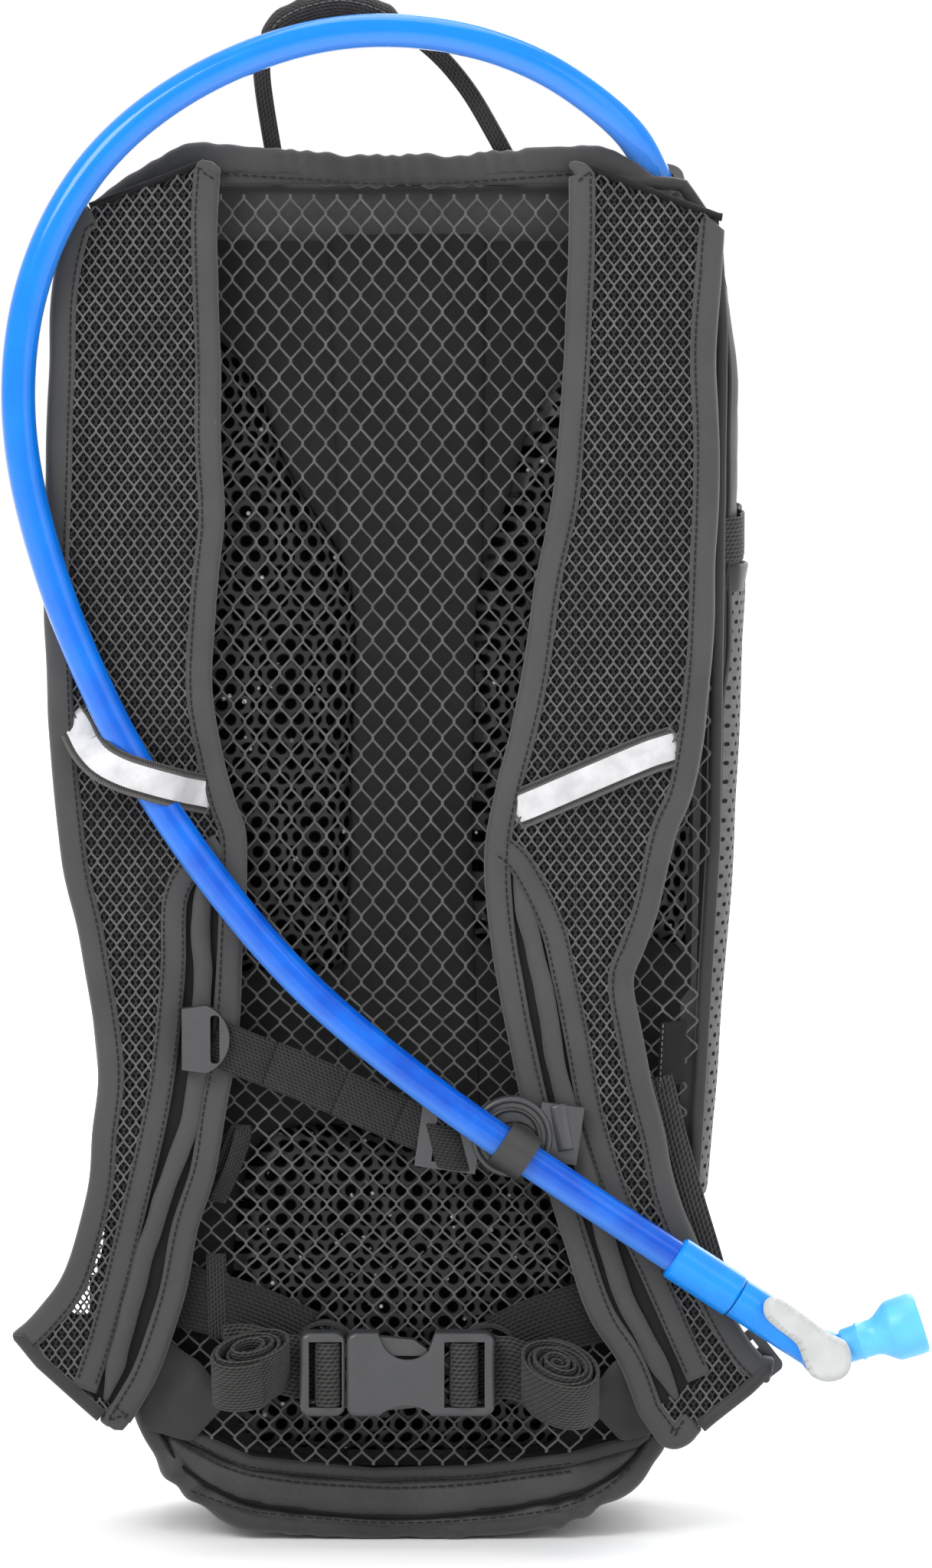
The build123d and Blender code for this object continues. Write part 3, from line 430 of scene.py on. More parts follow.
def hole_field(n, spacing, x, z):
    """Distance to the nearest point of a hexagonal array, in units of the spacing."""
    row = sqrt(3)
    found = []
    for shift in (0.0, 0.5):
        a = n.math("SUBTRACT", n.math("FRACT", n.add(n.math("DIVIDE", x, spacing), shift)), 0.5)
        b = n.math("SUBTRACT", n.math("FRACT", n.add(n.math("DIVIDE", z, spacing * row), shift)), 0.5)
        b = n.mul(b, row)
        found.append(n.math("SQRT", n.add(n.mul(a, a), n.mul(b, b))))
    return n.math("MINIMUM", *found)


def perforated(name, light, hole, spacing, radius, rough=0.6, painted_glints=False, depth=0.8 * MM,
               around=None):
    """Sheet with a hexagonal array of holes, in the XZ plane, or in the YZ plane when around is given. The
    holes are painted dark as shade in them; the glint option adds pale specks as painted glints.
    """
    n = Nodes(name)
    x, y, z = n.split()
    wavy = n.mul(n.math("SUBTRACT", n.noise(60, 2), 0.5), 0.9 * MM)
    across = n.add(x, y) if around is None else n.mul(y, around)
    far = hole_field(n, spacing, n.add(across, wavy), n.add(z, wavy))
    rim = n.ramp(far, radius * 0.8, radius * 1.2)
    tone = n.ramp(n.noise(500, 3), 0.2, 0.8)
    skin = n.mix(tone, grey(light * 0.75), grey(light))
    # painted shade: inside the holes the colour falls to the dark hole colour and the specular level to zero
    colour = n.mix(rim, grey(hole), skin)
    normal = n.bump(rim, depth, 0.9, n.bump(n.noise(900, 3), 0.1 * MM, 0.6))
    shine = n.spread(rim, 0.0, 0.25)
    n.tree.links.new(shine, n.shader.inputs["Specular IOR Level"])
    if painted_glints:
        # painted glints: a few pale specks mixed into the colour stand in for shine
        spots = n.node("TexVoronoi", {"Vector": n.place, "Scale": 190.0}).outputs["Distance"]
        glint_mask = n.mul(n.ramp(spots, 0.17, 0.10), n.ramp(n.noise(120, 1), 0.52, 0.6))
        colour = n.mix(glint_mask, colour, (0.30, 0.30, 0.31))
    return n.finish(colour, rough, normal)


def thread(name, light, dark, twist=0.9 * MM):
    """Yarn of the nets and the stitching: a twisted ply."""
    n = Nodes(name)
    x, y, z = n.split()
    ply = n.math("SINE", n.mul(n.add(n.add(x, z), y), 2 * pi / twist))
    # painted shade: the colour darkens a little in the grooves of the twist; the noise gives random tone
    tone = n.ramp(n.add(n.noise(140, 3), n.mul(ply, 0.15)), 0.25, 0.75)
    colour = n.mix(tone, grey(dark), grey(light))
    return n.finish(colour, 0.7, n.bump(ply, 0.08 * MM, 0.6), Sheen_Weight=0.1, Specular_IOR_Level=0.2)


def reflective(name):
    """Pale glass-bead print on tape, slightly crazed."""
    n = Nodes(name)
    cells = n.node("TexVoronoi", {"Vector": n.place, "Scale": 900.0}).outputs["Distance"]
    worn = n.ramp(n.noise(90, 4, 0.6), 0.3, 0.7)
    colour = n.mix(worn, (0.38, 0.38, 0.39), (0.52, 0.52, 0.53))
    normal = n.bump(cells, 0.05 * MM, 0.5, n.bump(n.noise(160, 2), 0.5 * MM, 0.5))
    roughness = n.spread(cells, 0.3, 0.55)
    return n.finish(colour, roughness, normal, Specular_IOR_Level=0.6)


def tube_skin(name, deep, bright, transmission=0.45, lit_underside=None):
    """Glossy tube wall of uneven colour; the last colour, when given, is painted light on its underside,
    paler as light from below comes through the tube.
    """
    n = Nodes(name)
    colour = n.mix(n.ramp(n.noise(70, 3), 0.3, 0.7), deep, bright)
    if lit_underside:
        # higher up nothing dark lies behind the tube, and more light comes through it
        lit = n.ramp(n.split()[2], 0.20, 0.44)
        colour = n.mix(n.mul(lit, 0.75), colour, (0.0, 0.19, 0.66))
        # painted light: the underside is mixed towards the paler colour, as light from the floor comes up
        # through the tube
        facing = n.tree.nodes.new("ShaderNodeTexCoord").outputs["Normal"]
        underside_mask = n.ramp(n.split(facing)[2], 0.05, -0.75)
        colour = n.mix(n.mul(underside_mask, 0.8), colour, lit_underside)
    roughness = n.spread(n.noise(60, 3), 0.1, 0.24)
    normal = n.bump(n.noise(55, 2), 0.25 * MM, 0.5)
    return n.finish(
        colour, roughness, normal,
        Specular_IOR_Level=0.22, Coat_Weight=0.2, Coat_Roughness=0.05,
        Subsurface_Weight=transmission, Subsurface_Scale=0.004, Subsurface_Radius=(0.2, 0.5, 1.0),
    )


def soft_rubber(name, colour, rough=0.35, translucent=0.35):
    n = Nodes(name)
    tone = n.ramp(n.noise(140, 3), 0.3, 0.7)
    base = n.mix(tone, tuple(c * 0.85 for c in colour), colour)
    roughness = n.spread(n.noise(300, 3), rough - 0.08, rough + 0.12)
    return n.finish(
        base, roughness, n.bump(n.noise(2600, 2), 0.03 * MM, 0.5),
        Subsurface_Weight=translucent, Subsurface_Scale=0.003, Specular_IOR_Level=0.5,
    )


SHELL = fabric("shell_fabric", 0.028, 0.019, warm=0.02, crease=1.1 * MM, rough=0.5, sheen=0.12)
# dark cloth, also used as painted shade: laid in the crease above the base roll and left bare in the strap
# recesses between facing strip and rail
SHELL_DARK_AND_SHADE = fabric("shell_fabric_dark_and_shade", 0.011, 0.006, rough=0.8, sheen=0.0)
BINDING = fabric("binding_fabric", 0.048, 0.036, weave=0.35 * MM, crease=0.35 * MM, rough=0.55, sheen=0.2)
ROLLED = fabric("rolled_edge_fabric", 0.046, 0.024, crease=1.4 * MM, rough=0.5, sheen=0.15)
HEM = fabric("hem_fabric", 0.032, 0.018, crease=0.9 * MM, rough=0.55)
WEB = webbing("webbing_ribbed", 0.042, 0.002, rib=1.35 * MM, along=2.0 * MM)
WEB_FINE = webbing("webbing_fine", 0.027, 0.002, rib=1.1 * MM, along=1.6 * MM)
# darker copy of the ribbed webbing: painted shade for the belt webbing behind the straps
WEB_SHADED = webbing("webbing_shaded", 0.012, 0.001, rib=1.35 * MM, along=2.0 * MM)
BORDER = webbing("strip_border", 0.085, 0.012, rib=2.6 * MM, along=0.8 * MM)
NET = thread("net_yarn", 0.095, 0.050)
STRAP_NET = thread("strap_net_yarn", 0.105, 0.055)
# darker copy of the strap yarn: painted shade on the mesh layer lying under the front one
STRAP_NET_SHADED = thread("strap_net_yarn_shaded", 0.030, 0.014)
STITCH = thread("stitch_thread", 0.008, 0.004)
STITCH_PALE = thread("stitch_thread_pale", 0.12, 0.08)
FOAM = perforated("pod_foam", 0.012, 0.001, 5.6 * MM, 0.33, rough=0.45, painted_glints=True, depth=1.6 * MM)
STRETCH = perforated("stretch_knit", 0.135, 0.02, 3.6 * MM, 0.2, depth=0.4 * MM, around=1.0)
REFLECT = reflective("reflective_print")
BUCKLE = plastic("buckle_plastic", (0.040, 0.041, 0.043), rough=0.36)
DARK_PLASTIC = plastic("dark_plastic", (0.022, 0.022, 0.023), rough=0.45)
PALE_PLASTIC = plastic("pale_plastic", (0.46, 0.47, 0.47), rough=0.4)
CYAN = plastic("cyan_plastic", (0.0, 0.22, 0.74), rough=0.25, coat=0.25, specular=0.3)
BLUE_CAP = plastic("blue_cap_plastic", (0.01, 0.10, 0.42), rough=0.35, coat=0.2)
TUBE = tube_skin("tube_blue", (0.0, 0.060, 0.42), (0.0, 0.105, 0.54), 0.05, lit_underside=(0.07, 0.22, 0.66))
SILICONE = soft_rubber("valve_silicone", (0.10, 0.47, 0.90))
PORT = soft_rubber("port_rubber", (0.02, 0.02, 0.02), rough=0.55, translucent=0.0)
FILM = tube_skin("bladder_film", (0.10, 0.25, 0.45), (0.35, 0.6, 0.85), 0.3)
ZIP_TAPE = webbing("zip_tape", 0.012, 0.004, rib=0.9 * MM, along=1.2 * MM)
ZIP_COIL = plastic("zip_coil", (0.09, 0.09, 0.095), rough=0.3)
SHEET = plastic("frame_sheet_plastic", (0.02, 0.02, 0.02), rough=0.5)


# ---------------------------------------------------------------- camera, light, floor
AIM = Vector((0.0196, -0.055, 0.2507))
DISTANCE = 2.3
VIEW_HEIGHT = 0.512
TILT = radians(4.0)
camera_data = bpy.data.cameras.new("camera")
camera_data.sensor_fit = "VERTICAL"
camera_data.sensor_height = 36.0
camera_data.lens = 36.0 * DISTANCE / VIEW_HEIGHT
camera = bpy.data.objects.new("camera", camera_data)
camera.location = AIM + Vector((0, -cos(TILT), sin(TILT))) * DISTANCE
camera.rotation_euler = (pi / 2 - TILT, 0, 0)
bpy.context.scene.collection.objects.link(camera)
bpy.context.scene.camera = camera


def area_light(name, place, target, size, watts, shade=(1, 1, 1)):
    data = bpy.data.lights.new(name, "AREA")
    data.shape = "RECTANGLE"
    data.size, data.size_y = size
    data.energy = watts
    data.color = shade
    light = bpy.data.objects.new(name, data)
    light.location = place
    light.rotation_euler = (Vector(target) - Vector(place)).to_track_quat("-Z", "Y").to_euler()
    bpy.context.scene.collection.objects.link(light)


area_light("key", (-1.1, -1.5, 1.5), (0, 0, 0.25), (0.9, 0.9), 30)
area_light("fill", (1.5, -1.3, 0.8), (0, 0, 0.22), (1.2, 1.4), 8)
area_light("top", (0.1, 0.2, 1.9), (0, 0, 0.3), (1.2, 1.2), 16)
area_light("back", (0.6, 1.6, 1.2), (0, 0, 0.25), (1.2, 1.2), 14)

world = bpy.data.worlds.new("studio")
world.use_nodes = True
world.node_tree.nodes["Background"].inputs[0].default_value = (1.0, 1.0, 1.0, 1.0)
world.node_tree.nodes["Background"].inputs[1].default_value = 1.0
bpy.context.scene.world = world
bpy.context.scene.view_settings.view_transform = "Standard"

floor_material = Nodes("floor")
floor_tone = floor_material.ramp(floor_material.noise(3.0, 2), 0.3, 0.7)
distance_out = floor_material.node("VectorMath", {0: floor_material.place},
                                   operation="LENGTH").outputs["Value"]
# painted light: the floor glows more the further it lies from the pack, which leaves it darker round the pack
floor_painted_glow = floor_material.mul(floor_material.ramp(distance_out, 0.25, 1.1), 0.5)
floor_paint = floor_material.finish(
    floor_material.mix(floor_tone, (0.84, 0.84, 0.84), (0.87, 0.87, 0.87)), 0.85,
    Specular_IOR_Level=0.1, Emission_Color=(1.0, 1.0, 1.0, 1.0),
)
floor_material.tree.links.new(floor_painted_glow, floor_material.shader.inputs["Emission Strength"])
FLOOR_REACH = 9.0
floor_corners = [Vector((x * FLOOR_REACH, y * FLOOR_REACH, 0)) for x,
                 y in ((-1, -1), (1, -1), (1, 1), (-1, 1))]
stage = new_object("stage", floor_corners, [(0, 1, 2, 3)], floor_paint)


# ---------------------------------------------------------------- drink tube
ROUTE = [
    (84, -31, 441), (79, -44, 456), (66, -53, 470), (42, -59, 486), (10, -61.5, 495.5), (-28, -62, 495),
    (-66, -63, 481), (-96, -65, 459), (-115, -66.5, 431), (-125, -67, 398), (-125.5, -67, 360),
    (-115, -67, 318), (-100, -67, 281), (-84, -67, 251), (-62, -67.5, 219), (-36, -69, 188), (-8, -71.5, 164),
    (21, -73.2, 142.2), (50, -73.2, 122.6), (76, -70, 104.8), (95, -70, 92.4),
]
TUBE_R = 5.5 * MM
tube_curve = bpy.data.curves.new("drink_tube_smooth", "CURVE")
tube_curve.dimensions = "3D"
tube_curve.bevel_depth = TUBE_R
tube_curve.bevel_resolution = 6
tube_curve.resolution_u = 10
tube_curve.use_fill_caps = True
spline = tube_curve.splines.new("NURBS")
spline.points.add(len(ROUTE) - 1)
for point, here in zip(spline.points, millimetres(ROUTE)):
    point.co = (*here, 1.0)
spline.order_u = 3
spline.use_endpoint_u = True
tube_curve.materials.append(TUBE)
drink_tube = bpy.data.objects.new("drink_tube_smooth", tube_curve)
bpy.context.scene.collection.objects.link(drink_tube)
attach(drink_tube, "pack")
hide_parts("drink_tube")
ON_TUBE = [bpy.data.objects[n] for n in ("tube_collar", "valve_elbow", "valve_lever", "bite_valve",
                                         "tube_band")]


# ---------------------------------------------------------------- soft-piece helpers
def nearest_on(line, x, z):
    """Closest point of a closed XZ line of Vectors, and its distance."""
    best, found = 1e9, None
    for a, b in zip(line, line[1:] + line[:1]):
        dx, dz = b.x - a.x, b.z - a.z
        span = dx * dx + dz * dz
        t = 0.0 if span == 0 else min(1.0, max(0.0, ((x - a.x) * dx + (z - a.z) * dz) / span))
        px, pz = a.x + dx * t, a.z + dz * t
        far = (px - x) ** 2 + (pz - z) ** 2
        if far < best:
            best, found = far, (px, pz)
    return found, sqrt(best)


def uneven(size, height, seed):
    """Relief for a pillow: smooth random height."""
    return lambda x, z, far: wobble(Vector((x, 0, z)), size, height, seed)


def flat_points(pairs, y=0.0):
    return [Vector((x, y, z)) * MM for x, z in pairs]


def pillow(name, outline, back, front, edge, material, body="pack", cell=3.0 * MM, relief=None, gap=None):
    """Soft piece with a closed XZ outline: flat behind, domed in front, its edge rounded over `edge`.
    relief(x, z, d) lowers the front at a distance d from the edge; gap(x, z) leaves a hole."""
    line = resample(outline, cell, closed=True)
    test = inside_polygon([(p.x, p.z) for p in line])
    xs, zs = [p.x for p in line], [p.z for p in line]
    columns = ceil((max(xs) - min(xs)) / cell) + 1
    rows = ceil((max(zs) - min(zs)) / cell) + 1
    x0, z0 = min(xs) - cell / 2, min(zs) - cell / 2
    used, faces = {}, []
    for i in range(columns):
        for k in range(rows):
            middle = (x0 + (i + 0.5) * cell, z0 + (k + 0.5) * cell)
            if test(*middle) and not (gap and gap(*middle)):
                corners = [(i, k), (i + 1, k), (i + 1, k + 1), (i, k + 1)]
                faces.append([used.setdefault(c, len(used)) for c in corners])
    shared = {}
    for face in faces:
        for a, b in zip(face, face[1:] + face[:1]):
            key = (min(a, b), max(a, b))
            shared[key] = shared.get(key, 0) + 1
    rim_edges = [key for key, count in shared.items() if count == 1]
    rim = {v for key in rim_edges for v in key}
    fronts, backs = [], []
    for (i, k), index in used.items():
        x, z = x0 + i * cell, z0 + k * cell
        spot, far = nearest_on(line, x, z)
        if index in rim and far < 1.6 * cell:
            x, z = spot
            far = 0.0
        share = min(far / edge, 1.0)
        dome = sqrt(1 - (1 - share) ** 2)
        lift = relief(x, z, far) if relief else 0.0
        seam = back + (front - back) * 0.35
        fronts.append(Vector((x, seam + (front - seam) * dome - lift * share, z)))
        backs.append(Vector((x, seam + (back - seam) * dome, z)))
    count = len(used)
    verts = fronts + backs
    quads = [tuple(face) for face in faces] + [tuple(count + v for v in reversed(face)) for face in faces]
    quads += [(a, b, count + b, count + a) for a, b in rim_edges]
    made = new_object(name, verts, quads, material)
    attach(made, body)
    return made


def subdivide(piece):
    step = piece.modifiers.new("smooth", "SUBSURF")
    step.levels = step.render_levels = 1


def inset(line, distance):
    """Closed XZ line moved inwards by distance, for a line that runs clockwise or anticlockwise."""
    area = sum(a.x * b.z - b.x * a.z for a, b in zip(line, line[1:] + line[:1]))
    turn = 1 if area > 0 else -1
    moved = []
    for here, step in zip(line, tangents(line, True)):
        moved.append(here + Vector((-step.z, 0, step.x)) * distance * turn)
    return moved


def at_depth(line, y):
    return [Vector((p.x, y, p.z)) for p in line]


def between(line, y_at):
    """Line with its depth taken from a function of (x, z)."""
    return [Vector((p.x, y_at(p.x, p.z), p.z)) for p in line]


def ribbon(name, points, width, thick, material, body, out=FACING, closed=False, step=2.0 * MM):
    """Webbing along a line in space. Its width is square to the line and to out."""
    line = resample(smooth_line(points, 6, closed), step, closed)

    def side(direction, share):
        here_out = out(share) if callable(out) else out
        across = direction.cross(here_out).normalized()
        return across, across.cross(direction).normalized()

    made = sweep_profile(name, line, rounded_strip(width, thick), side, material, closed)
    if body:
        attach(made, body)
    return made


# ---------------------------------------------------------------- bag shell
SECTIONS = [
    (0.0, 44, -28, 32, 12), (1.5, 52, -31, 34, 13), (5.0, 60, -34, 36, 14), (15.0, 76, -38, 40, 16),
    (34.0, 88, -38, 40, 18), (117.0, 99, -38, 40, 18), (232.0, 107, -38, 40, 18), (322.0, 109.6, -38, 40, 18),
    (392.0, 109.6, -38, 40, 18), (412.0, 107.6, -38, 39.6, 18), (425.0, 103.8, -38, 36.5, 18),
    (434.0, 98.5, -38, 31, 17), (440.0, 93, -38, 25, 16), (444.5, 86.5, -38, 16, 14), (447.0, 80, -38, 8, 12),
]
RING = 176


def section_at(z):
    for low, high in zip(SECTIONS, SECTIONS[1:]):
        if z <= high[0]:
            t = (z - low[0]) / (high[0] - low[0])
            return [a + (b - a) * t for a, b in zip(low, high)]
    return list(SECTIONS[-1])


def ring_point(section, share):
    """Point on a rounded oblong, share 0 to 1 round it, and its outward direction; millimetres."""
    z, half, back, front, corner = section
    middle, deep = (front + back) / 2, (front - back) / 2
    corner = min(corner, half * 0.95, deep * 0.95)
    straight = (half - corner, deep - corner)
    arc = corner * pi / 2
    pieces = [2 * straight[0], arc, 2 * straight[1], arc] * 2
    far = share * sum(pieces)
    corners = [(straight[0], -straight[1]), (straight[0], straight[1]),
               (-straight[0], straight[1]), (-straight[0], -straight[1])]
    for k, piece in enumerate(pieces):
        if far <= piece or k == 7:
            break
        far -= piece
    side_number = k // 2
    cx, cy = corners[side_number]
    base = radians(-90 + 90 * side_number)
    if k % 2:
        angle = base + far / corner
        return Vector((cx + corner * cos(angle), middle + cy + corner * sin(angle), z)), angle
    ax, ay = corners[side_number - 1]
    t = far / piece if piece else 0
    return Vector((ax + (cx - ax) * t + corner * cos(base), middle + ay + (cy - ay) * t + corner * sin(base),
                   z)), base


def shell_wrinkle(spot):
    """Height of the cloth's soft folds; small on the back, larger on the front and at the corners."""
    soft = wobble(spot, 0.055, 2.2 * MM, 3.1) + wobble(spot, 0.021, 1.1 * MM, 9.2)
    long_folds = Vector((spot.x * 2.2, spot.y * 2.2, spot.z * 0.45))
    soft += wobble(long_folds, 0.05, 1.6 * MM, 5.5)
    slanting = Vector((spot.x + spot.z * 0.6, spot.y * 2.0, (spot.z - spot.x * 0.6) * 0.35))
    soft -= abs(wobble(slanting, 0.035, 1.8 * MM, 15.0))
    if spot.y < -30 * MM:
        return soft * 0.15
    return soft


def shell_height_steps():
    heights = [0.0, 0.8, 1.5, 3.0, 5.0, 7.5, 10.5, 15.0, 20.0, 27.0, 34.0]
    heights += [34.0 + 4.0 * k for k in range(1, 98)]
    heights += [425.0, 428.0, 431.0, 434.0, 437.0, 440.0, 442.3, 444.5, 446.0, 447.0]
    return heights


def make_shell():
    verts = []
    heights = shell_height_steps()
    for z in heights:
        section = section_at(z)
        section[0] = z
        for k in range(RING):
            spot, angle = ring_point(section, k / RING)
            spot = spot * MM
            fade = min(1.0, (z - 0.5) / 30) if z > 0.5 else 0.0
            push = shell_wrinkle(spot) * fade - 0.6 * MM
            verts.append(spot + Vector((cos(angle), sin(angle), 0)) * push)
    faces = ring_faces(len(heights), RING)
    for base in (0, (len(heights) - 1) * RING):
        rim = verts[base:base + RING]
        middle = sum(rim, Vector()) / RING
        ring = list(range(base, base + RING))
        for scale in (0.66, 0.33):
            fresh = list(range(len(verts), len(verts) + RING))
            verts += [middle.lerp(spot, scale) for spot in rim]
            for k in range(RING):
                m = (k + 1) % RING
                faces.append((ring[k], ring[m], fresh[m], fresh[k]))
            ring = fresh
        faces.append(tuple(ring))
    shell = new_object("bag_shell", verts, faces, SHELL)
    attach(shell, "pack")
    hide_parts("main_shell", "base_panel")
    return shell


bag_shell = make_shell()


# ---------------------------------------------------------------- back panel
def net_depth(x, z):
    """Front of the back net: drawn back to its seam near the sides and sagging over the air channel."""
    edge = max(0.0, abs(x) - 84 * MM)
    channel = max(0.0, 1 - (abs(x + 1 * MM) / (24 * MM)) ** 2) * (1.0 if z > 0.14 else 0.4)
    return -49.8 * MM + edge * 0.32 + channel * 1.0 * MM + wobble(Vector((x, 0, z)), 0.06, 0.5 * MM, 2.0)


NET_OUTLINE = [
    (-89, 446), (-101, 430), (-103, 400), (-101, 230), (-94, 110), (-80, 42), (-75, 37), (-52, 26), (-11, 22),
    (21, 23), (53, 27), (78, 34), (94, 110), (101, 230), (103, 400), (101, 430), (90, 446), (50, 448),
    (-50, 448),
]
net_edge = resample(flat_points(NET_OUTLINE), 4 * MM, closed=True)
inside_net = inside_polygon([(p.x, p.z) for p in inset(net_edge, 1.6 * MM)])

LEFT_POD = [
    (-90, 392), (-55, 390), (-38, 352), (-18, 315), (-18, 257), (-20, 196), (-28, 189), (-84, 189),
    (-92, 196),
]
RIGHT_POD = [
    (91, 384), (49, 382), (32, 340), (24, 317), (22, 282), (22, 206), (30, 199), (84, 199), (92, 206),
]
LOWER_POD = [
    (-44, 135), (-8, 137), (40, 135), (54, 112), (57, 70), (52, 36), (30, 30), (-30, 30), (-54, 36),
    (-58, 70), (-55, 112),
]


def pod_relief(x, z, far):
    """Rows of deep holes pressed through the foam, with a slight quilted swell."""
    holes = 1.1 * MM * abs(sin(x * pi / (11 * MM)) * sin(z * pi / (13 * MM)))
    return holes + wobble(Vector((x, 0, z)), 0.016, 0.9 * MM, 3.0)


for pod_name, shape, node in (
    ("foam_pod_left", LEFT_POD, "back_pad_left"),
    ("foam_pod_right", RIGHT_POD, "back_pad_right"),
    ("foam_pod_lower", LOWER_POD, "lumbar_pad"),
):
    outline = resample(smooth_line(flat_points(shape), 6, True), 3 * MM, True)
    pod = pillow(pod_name, outline, -41.2 * MM, -48.4 * MM, 11 * MM, FOAM, relief=pod_relief)
    subdivide(pod)
    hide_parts(node)

CENTRE = [
    (-26, 446), (26, 446), (25, 330), (22, 200), (24, 140), (20, 24), (-20, 24), (-24, 140), (-20, 200),
    (-22, 330),
]
pillow(
    "air_channel_lining", flat_points(CENTRE), -41.0 * MM, -43.0 * MM, 6 * MM, SHELL_DARK_AND_SHADE,
    relief=lambda x, z, far: wobble(Vector((x * 2, 0, z)), 0.05, 0.8 * MM, 4.0),
)
backing_edge = inset(net_edge, 2.5 * MM)
pillow("back_backing", backing_edge, -38.6 * MM, -41.2 * MM, 4 * MM, SHELL_DARK_AND_SHADE, cell=4 * MM)

LOWER_ROWS, LOWER_CELL, UPPER_CELL = 19, 8.6 * MM, 10.7 * MM


def net_level(row):
    """Cells are shorter over the lower pod than between the shoulders."""
    low = min(row, LOWER_ROWS)
    return 21 * MM + low * LOWER_CELL + (row - low) * UPPER_CELL


net_strands = net_lines(inside_net, 7.6 * MM, net_level, 44, (-104 * MM, 104 * MM), net_depth)
back_net = strands("back_net_strands", net_strands, 0.42 * MM, NET)
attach(back_net, "pack")
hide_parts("back_net")

# seam round the net, where it is bound to the shell
net_seam = between(net_edge, lambda x, z: net_depth(x, z) + 0.9 * MM)
seam_band = sweep_profile("net_seam", net_seam, rounded_strip(4.4 * MM, 3.4 * MM), flat_side, SHELL,
                          closed=True)
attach(seam_band, "pack")

# smooth panel below the net, with two rows of stitches along its top and one along its lower edge
BASE_PANEL = [
    (-79, 41), (-75, 37), (-52, 26.5), (-11, 22.5), (21, 23.5), (53, 27.5), (78, 34.5), (82, 33), (75, 24.5),
    (63, 16.0), (42, 10.2), (0, 5.2), (-42, 8.6), (-60, 13.2), (-75, 23), (-82, 35),
]
base_outline = resample(smooth_line(flat_points(BASE_PANEL), 5, True), 3 * MM, True)


def base_puckers(x, z, far):
    fold = 0.5 + 0.5 * sin(x / (5.2 * MM) + 2.2 * sin(x / (17 * MM)))
    return 1.3 * MM * fold * max(0.0, 1 - far / (9 * MM))


base_panel = pillow(
    "base_back_panel", base_outline, -39 * MM, -49.8 * MM, 5.5 * MM, ROLLED, cell=2.4 * MM,
    relief=base_puckers,
)
subdivide(base_panel)
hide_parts("base_back_trim")
# painted shade: a thin dark strip laid along the crease between the base panel and its rolled edge
CREASE_SHADE_LINE = [
    (-80.6, 35), (-73.8, 24.6), (-59, 15.4), (-42, 10.9), (0, 7.6), (42, 12.4), (62, 18.2), (74, 26.6),
    (80.4, 35),
]
ribbon("base_crease", flat_points(CREASE_SHADE_LINE, -48.4), 1.3 * MM, 1.5 * MM, SHELL_DARK_AND_SHADE, "pack")
SEAM_TOP = [(-78, 38.5), (-75, 36), (-52, 25), (-11, 20.8), (21, 21.8), (53, 26), (78, 33)]
for row, drop in enumerate((0.0, 2.6)):
    seam_line = smooth_line([Vector((x, -50.1, z - drop)) * MM for x, z in SEAM_TOP[1:-1]], 8)
    stitch_row(f"base_stitches_{row}", seam_line, "pack", STITCH, pitch=3.0 * MM, length=2.2 * MM,
               width=0.5 * MM)

# fat rolled edge round the foot of the bag, puckered by its seam
ROLL_RING, ROLL_STEP = 14, 1.6 * MM
ROLL_LINE = [
    (-86.5, 60), (-86, 44), (-80.5, 31), (-70.5, 18), (-58, 9.5), (-40, 6), (-22, 5), (0, 4.8), (20, 5),
    (41, 7.0), (57, 11.0), (67, 17.0), (76.5, 25), (82.5, 36), (87.5, 60),
]
roll_path = resample(smooth_line(flat_points(ROLL_LINE, -44.6), 6), ROLL_STEP)


base_roll = sweep_profile("base_rolled_edge", roll_path, oval(5.0 * MM, 4.6 * MM, ROLL_RING), flat_side,
                          ROLLED)
for vertex in base_roll.data.vertices:
    row = min(vertex.index // ROLL_RING, len(roll_path) - 1)
    outward = vertex.co - roll_path[row]
    run = row * ROLL_STEP
    slant = run + 0.9 * outward.z + 0.7 * outward.y
    pucker = 0.15 * sin(slant / (2.3 * MM) + 1.8 * sin(run / (7 * MM))) + 0.13 * sin(slant / (5.1 * MM) + 1.0)
    vertex.co = roll_path[row] + outward * (1 - 0.08 + pucker * (0.6 + 0.4 * sin(run / (23 * MM))))
subdivide(base_roll)
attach(base_roll, "pack")
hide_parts("base_piping")


# ---------------------------------------------------------------- shoulder straps
STRAP_MID = (STRAP_FRONT + STRAP_BACK) / 2
STRAP_THICK = STRAP_BACK - STRAP_FRONT
BAND_WIDTH = 8.6 * MM
RAIL_RING = 12
FACE_Y = STRAP_FRONT + 0.9 * MM

LEFT_OUTER = [
    (-103, 440), (-110, 434), (-115, 412), (-116, 385), (-117, 357), (-118, 319), (-117, 282), (-116, 262),
    (-112, 224), (-107, 200), (-101, 160), (-103, 136), (-105, 116), (-112, 91), (-120, 79), (-129, 70),
]
LEFT_FOOT = [(-121, 60), (-101, 42), (-93, 36)]
LEFT_INNER = [
    (-88, 44), (-81, 57), (-73, 81), (-68, 105), (-62, 124), (-59, 144), (-55, 166), (-53, 200), (-52, 232),
    (-56, 246), (-60, 263), (-63, 282), (-61.5, 312), (-59, 337), (-60, 360), (-60, 385), (-61, 432),
    (-60, 453), (-64, 455),
]
RIGHT_OUTER = [
    (104, 436), (102.5, 415), (101, 392), (102, 360), (101, 322), (99, 282), (94, 249), (88, 234), (83, 211),
    (78, 196), (74.5, 186), (77, 170), (80, 155), (85, 136), (89, 117), (97, 97), (111, 70), (121, 59),
]
RIGHT_FOOT = [(113, 51), (98, 39), (93, 33), (85, 31)]
